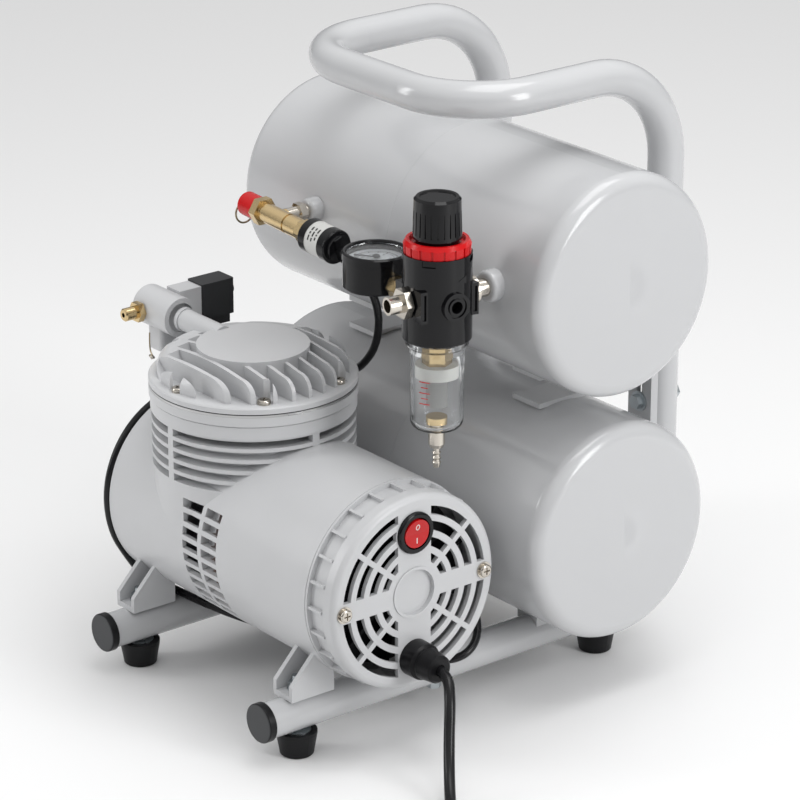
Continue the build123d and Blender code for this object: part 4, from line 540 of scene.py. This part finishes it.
CORD_ROUTE = [
    (142.0, -74.9, 59.0),
    (153.0, -74.9, 59.0),
    (164.0, -82.4, 48.0),
    (171.0, -88.9, 30.5),
    (181.0, -96.9, 14.0),
    (195.5, -107.9, 4.7),
    (212.0, -119.9, 3.4),
    (230.0, -129.4, 3.4),
    (244.0, -133.4, 3.4),
]
TAIL_ROUTE = [
    (305.6, -192.0, 13.0),
    (307.0, -212.0, 6.0),
    (301.5, -229.0, 3.7),
    (288.0, -240.0, 4.4),
    (271.0, -243.5, 7.1),
]
LEAD_ROUTE = [
    (-1.4, -24.9, 258.0),
    (3.1, -20.3, 251.7),
    (7.3, -16.6, 240.5),
    (9.2, -12.8, 229.0),
    (7.4, -10.0, 214.0),
    (0.0, -9.0, 195.5),
    (-22.0, -7.0, 176.0),
    (-52.0, -7.0, 168.0),
    (-78.0, -12.0, 166.0),
    (-95.0, -28.0, 165.5),
    (-101.0, -54.0, 163.5),
    (-101.0, -80.0, 162.3),
    (-101.0, -108.0, 152.9),
    (-101.0, -127.2, 134.0),
    (-101.0, -136.8, 107.6),
    (-101.0, -133.9, 79.7),
    (-101.0, -121.3, 58.2),
    (-97.0, -113.5, 45.4),
    (-79.0, -105.3, 41.2),
    (-50.0, -97.0, 36.5),
    (-12.0, -84.0, 33.5),
    (32.0, -65.0, 33.5),
    (64.0, -50.0, 37.5),
    (83.3, -44.6, 41.4),
    (98.5, -43.0, 40.8),
    (109.0, -38.0, 41.0),
    (113.5, -28.5, 44.0),
    (110.5, -18.0, 49.5),
    (101.5, -10.5, 57.5),
    (92.5, -8.0, 68.0),
    (90.0, -16.9, 75.0),
]
HOSE_ROUTE = [
    (-126.0, -58.0, 193.3),
    (-126.0, -58.0, 176.0),
    (-122.0, -50.0, 161.0),
    (-112.0, -38.5, 148.5),
    (-106.5, -24.0, 139.0),
    (-106.0, -8.8, 133.4),
]


def add_cords():
    """The mains lead with its coil and plug, the switch lead and the delivery hose."""
    turns = coil_turns(7.25, pi / 2)
    mains = spline(
        "mains_lead", in_metres(CORD_ROUTE) + turns + in_metres(TAIL_ROUTE), CORD_D, CORD_JACKET
    )
    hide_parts("power_cord", "cord_coil", "cord_tail")
    tie = cord_tie()
    lead = spline("switch_lead", in_metres(LEAD_ROUTE), LEAD_D, CORD_JACKET)
    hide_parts("pressure_lead")
    hose = spline("delivery_hose", in_metres(HOSE_ROUTE), HOSE_D, RUBBER)
    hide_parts("air_hose")


def cord_tie():
    """A flat strap round one side of the coil."""
    inner, outer = COIL_INNER - 0.8 * MM, COIL_OUTER + 0.6 * MM
    low, high = 0.05 * MM, CORD_ON_FLOOR + 2.5 * CORD_D + 0.6 * MM
    thick, half_width, round_r = 0.8 * MM, 3.5 * MM, 3.0 * MM
    way = Matrix.Translation((COIL.x, COIL.y, 0)) @ Matrix.Rotation(radians(-120), 4, "Z")

    def build(bm):
        loop = []
        for cx, cz, first in (
            (outer - round_r, high - round_r, 0), (inner + round_r, high - round_r, 1),
            (inner + round_r, low + round_r, 2), (outer - round_r, low + round_r, 3),
        ):
            for k in range(6):
                a = (first + k / 5) * pi / 2
                loop.append((cx + round_r * cos(a), cz + round_r * sin(a), cos(a), sin(a)))
        rings = []
        for x, z, nx, nz in loop:
            rings.append([
                bm.verts.new(way @ Vector((x + nx * t, y, max(0, z + nz * t))))
                for t, y in ((0, -half_width), (thick, -half_width), (thick, half_width), (0, half_width))
            ])
        skin(bm, rings, around=True)

    return piece("cord_tie", mesh_of("cord_tie", build), BLACK_SATIN)


# ---------------------------------------------------------------- printed and small details
def dial_point(radius, angle):
    """A point on the dial at this clockwise angle from the top of the scale."""
    a = radians(90) + REGULATOR_TURN - angle
    return Vector((GAUGE.x + radius * cos(a), GAUGE.y + radius * sin(a), DIAL_TOP))


def add_gauge_print():
    """Scale ring, ticks and numbers on the gauge's dial."""
    ink = 0.06 * MM
    sweep = radians(270)
    scale_r, number_r, number_size = 13.2 * MM, 8.2 * MM, 2.9 * MM

    def at_share(share):
        """The dial angle at this share of the scale."""
        return sweep * (share - 0.5)

    def scale(bm):
        for radius, width in ((scale_r, 0.25 * MM), (scale_r - 2.4 * MM, 0.2 * MM)):
            inner = [dial_point(radius, at_share(k / 72)) for k in range(73)]
            outer = [dial_point(radius + width, at_share(k / 72)) for k in range(73)]
            for k in range(72):
                quad = (inner[k], inner[k + 1], outer[k + 1], outer[k])
                low = [bm.verts.new(p) for p in quad]
                high = [bm.verts.new(p + Vector((0, 0, ink))) for p in quad]
                bm.faces.new(high)
                for i in range(4):
                    j = (i + 1) % 4
                    bm.faces.new((low[i], low[j], high[j], high[i]))
        for k in range(51):
            angle = at_share(k / 50)
            long = k % 5 == 0
            half = (0.28 if long else 0.12) * MM
            reach = (2.2 if long else 1.2) * MM
            middle_at = dial_point(scale_r - reach / 2, angle)
            turn = radians(90) + REGULATOR_TURN - angle
            world = Matrix.Translation(middle_at) @ Matrix.Rotation(turn, 4, "Z")
            slab(bm, rectangle(reach / 2, half), 0, ink, world)

    def cap(bm):
        profile = [(0.1, 0), (2.2, 0), (2.2, 0.5), (1.6, 0.9), (0.1, 1.0)]
        foot = (GAUGE.x, GAUGE.y, corners("gauge_needle")[1].z)
        lathe(bm, [(r * MM, z * MM) for r, z in profile], foot, steps=32)

    piece("gauge_scale", mesh_of("gauge_scale", scale), INK_BLACK, smooth=False)
    for k in range(6):
        text(
            f"gauge_number_{2 * k}", str(2 * k), number_size, dial_point(number_r, at_share(k / 5)),
            Matrix.Rotation(REGULATOR_TURN, 4, "Z"), INK_BLACK,
        )
    piece("needle_cap", mesh_of("needle_cap", cap), INK_BLACK, "needle")


def text(name, words, size, place, turn, material):
    """A printed number or mark, as thin solid letters."""
    font = bpy.data.curves.new(name + "_text", "FONT")
    font.body = words
    font.size = size
    font.align_x = "CENTER"
    font.align_y = "CENTER"
    font.extrude = 0.03 * MM
    letters = bpy.data.objects.new(name + "_text", font)
    bpy.context.scene.collection.objects.link(letters)
    depsgraph = bpy.context.evaluated_depsgraph_get()
    mesh = bpy.data.meshes.new_from_object(letters.evaluated_get(depsgraph))
    bpy.data.objects.remove(letters)
    mesh.transform(Matrix.Translation(Vector(place)) @ turn)
    mesh.name = name
    mesh.materials.clear()
    piece(name, mesh, material, smooth=False)


MARK_SUNK = 0.1 * MM
MARK_PROUD = 0.08 * MM


def add_switch_marks():
    """The off ring and the on bar, inlaid in the rocker's two faces."""
    face_rise, face_height = 2.0 * MM, 11.0 * MM
    upper_slope = atan2(face_rise, face_height)
    face_x = COVER_X + 2.6 * MM
    sideways = Matrix(((0, 0, 1, 0), (1, 0, 0, 0), (0, 1, 0, 0), (0, 0, 0, 1)))

    def ring(bm):
        up = 4.1 * MM
        place = Vector((face_x - 0.35 * MM + up * face_rise / face_height, SWITCH.y, SWITCH.z + up))
        world = Matrix.Translation(place) @ Matrix.Rotation(upper_slope, 4, "Y") @ sideways
        count, half_line, half_w, half_h = 40, 0.28 * MM, 1.15 * MM, 1.6 * MM
        for k in range(count):
            quad = []
            for step, side in ((k, -1), (k + 1, -1), (k + 1, 1), (k, 1)):
                a = tau * step / count
                quad.append(((half_w + side * half_line) * cos(a), (half_h + side * half_line) * sin(a)))
            slab(bm, quad, -MARK_SUNK, MARK_PROUD, world)

    def bar(bm):
        place = Vector((face_x - 0.33 * MM, SWITCH.y, SWITCH.z - 4.4 * MM))
        world = Matrix.Translation(place) @ sideways
        slab(bm, rectangle(0.32 * MM, 1.7 * MM), -MARK_SUNK, MARK_PROUD, world)

    piece("off_mark", mesh_of("off_mark", ring), INK_WHITE, "power_switch", smooth=False)
    piece("on_mark", mesh_of("on_mark", bar), INK_WHITE, "power_switch", smooth=False)


def add_bowl_scale():
    """Five red level lines on the clear bowl, long and short by turns."""
    bowl_r, top, gap, half_line = 15.92 * MM, 219.0 * MM, 3.3 * MM, 0.3 * MM
    facing = radians(-66)
    upright = (0, 0, 1)
    front = angle_towards(upright, (cos(facing), sin(facing), 0))

    def build(bm):
        for k in range(5):
            half = radians(12 if k % 2 == 0 else 8)
            z = top - gap * k
            curved_patch(
                bm, (BOWL.x, BOWL.y, 0), upright, bowl_r, (front - half, front + half),
                (z - half_line, z + half_line),
            )

    piece("bowl_scale", mesh_of("bowl_scale", build), INK_RED, smooth=False)


def add_seam_beads():
    """The weld bead in each tank's lap seam."""
    seam_x, tank_y, seam_r, bead_r = 2.9 * MM, 66.0 * MM, 66.8 * MM, 0.75 * MM
    angles = [tau * k / 12 for k in range(12)]
    profile = [(seam_r + bead_r * sin(a), bead_r * cos(a)) for a in angles]
    for name, z in (("lower_tank", 106.2 * MM), ("upper_tank", 260.2 * MM)):
        heart = Vector((seam_x, tank_y, z))

        def build(bm):
            lathe(bm, profile, heart, (1, 0, 0), 160)

        piece(name + "_bead", mesh_of(name + "_bead", build), ENAMEL)


def add_flow_arrow():
    """A small raised triangle on the regulator's body: the way the air goes."""
    sunk_r, proud_r = 20.0 * MM, 20.55 * MM
    tip, base, half, z = radians(-2), radians(14), 2.4 * MM, 280.8 * MM

    def build(bm):
        low, top = (
            [
                bm.verts.new((BOWL.x + r * cos(a), BOWL.y + r * sin(a), z + dz))
                for a, dz in ((tip, 0), (base, -half), (base, half))
            ]
            for r in (sunk_r, proud_r)
        )
        bm.faces.new(low)
        bm.faces.new(top[::-1])
        skin(bm, [low, top])

    piece("flow_arrow", mesh_of("flow_arrow", build), BLACK_GLOSS, smooth=False)


def add_label_marks():
    """Rows of short plain dashes printed on the pressure switch's white band."""
    way = Vector((cos(VALVE_TILT), 0, -sin(VALVE_TILT)))
    band_r = 10.32 * MM
    dash, space = 1.1 * MM, radians(5)
    start = angle_towards(way, (0.3, -0.75, 0.55)) - radians(24)
    rows = ((42.6 * MM, (14, 8, 18)), (45.6 * MM, (10, 18, 12)), (48.6 * MM, (16, 6, 10)))

    def build(bm):
        for station, lengths in rows:
            at = start
            for length in lengths:
                end = at + radians(length)
                curved_patch(bm, TEE, way, band_r, (at, end), (station, station + dash))
                at = end + space

    piece("label_marks", mesh_of("label_marks", build), INK_BLACK, smooth=False)


def add_threads():
    """Thread ridges on the bolt ends that stand out of their nuts."""
    pitch, crest, root = 0.8 * MM, 2.62 * MM, 2.3 * MM
    base = 46.3 * MM
    feet = [(x * MM, y * MM) for x in (-76.1, 83.3) for y in (-131.7, -28.9)]

    def build(bm):
        for x, y in feet:
            profile = [(root, 0)]
            for k in range(4):
                profile += [(crest, (k + 0.5) * pitch), (root, (k + 1) * pitch)]
            profile += [(root * 0.8, 4.4 * pitch), (0.0001, 4.5 * pitch), (0.0001, 0)]
            lathe(bm, profile, (x, y, base), steps=24)

    piece("bolt_threads", mesh_of("bolt_threads", build), ZINC_METAL)


def add_wire_clip():
    """A thin wire from the manifold down to its clip on the head's edge."""
    route = ((-117.0, -90.6, 194.0), (-117.0, -90.9, 188.5), (-115.6, -91.4, 182.0), (-112.5, -92.0, 180.6))
    wire = spline("earth_wire", in_metres(route), 0.9 * MM, BRASS_WIRE)

    def build(bm):
        world = Matrix.Translation((-0.1135, -0.0920, 0.1792)) @ Matrix.Rotation(radians(25), 4, "Y")
        slab(bm, rectangle(1.8 * MM, 1.3 * MM), 0, 1.4 * MM, world)
        bmesh.ops.bevel(bm, geom=bm.edges[:], offset=0.3 * MM, segments=2, affect="EDGES")

    piece("wire_clip", mesh_of("wire_clip", build), NICKEL_METAL)


# ---------------------------------------------------------------- the machine
add_camera()
add_lights()
add_floor()
add_cords()
finish_nodes()
add_gauge_print()
add_switch_marks()
add_bowl_scale()
add_seam_beads()
add_flow_arrow()
add_label_marks()
add_threads()
add_wire_clip()
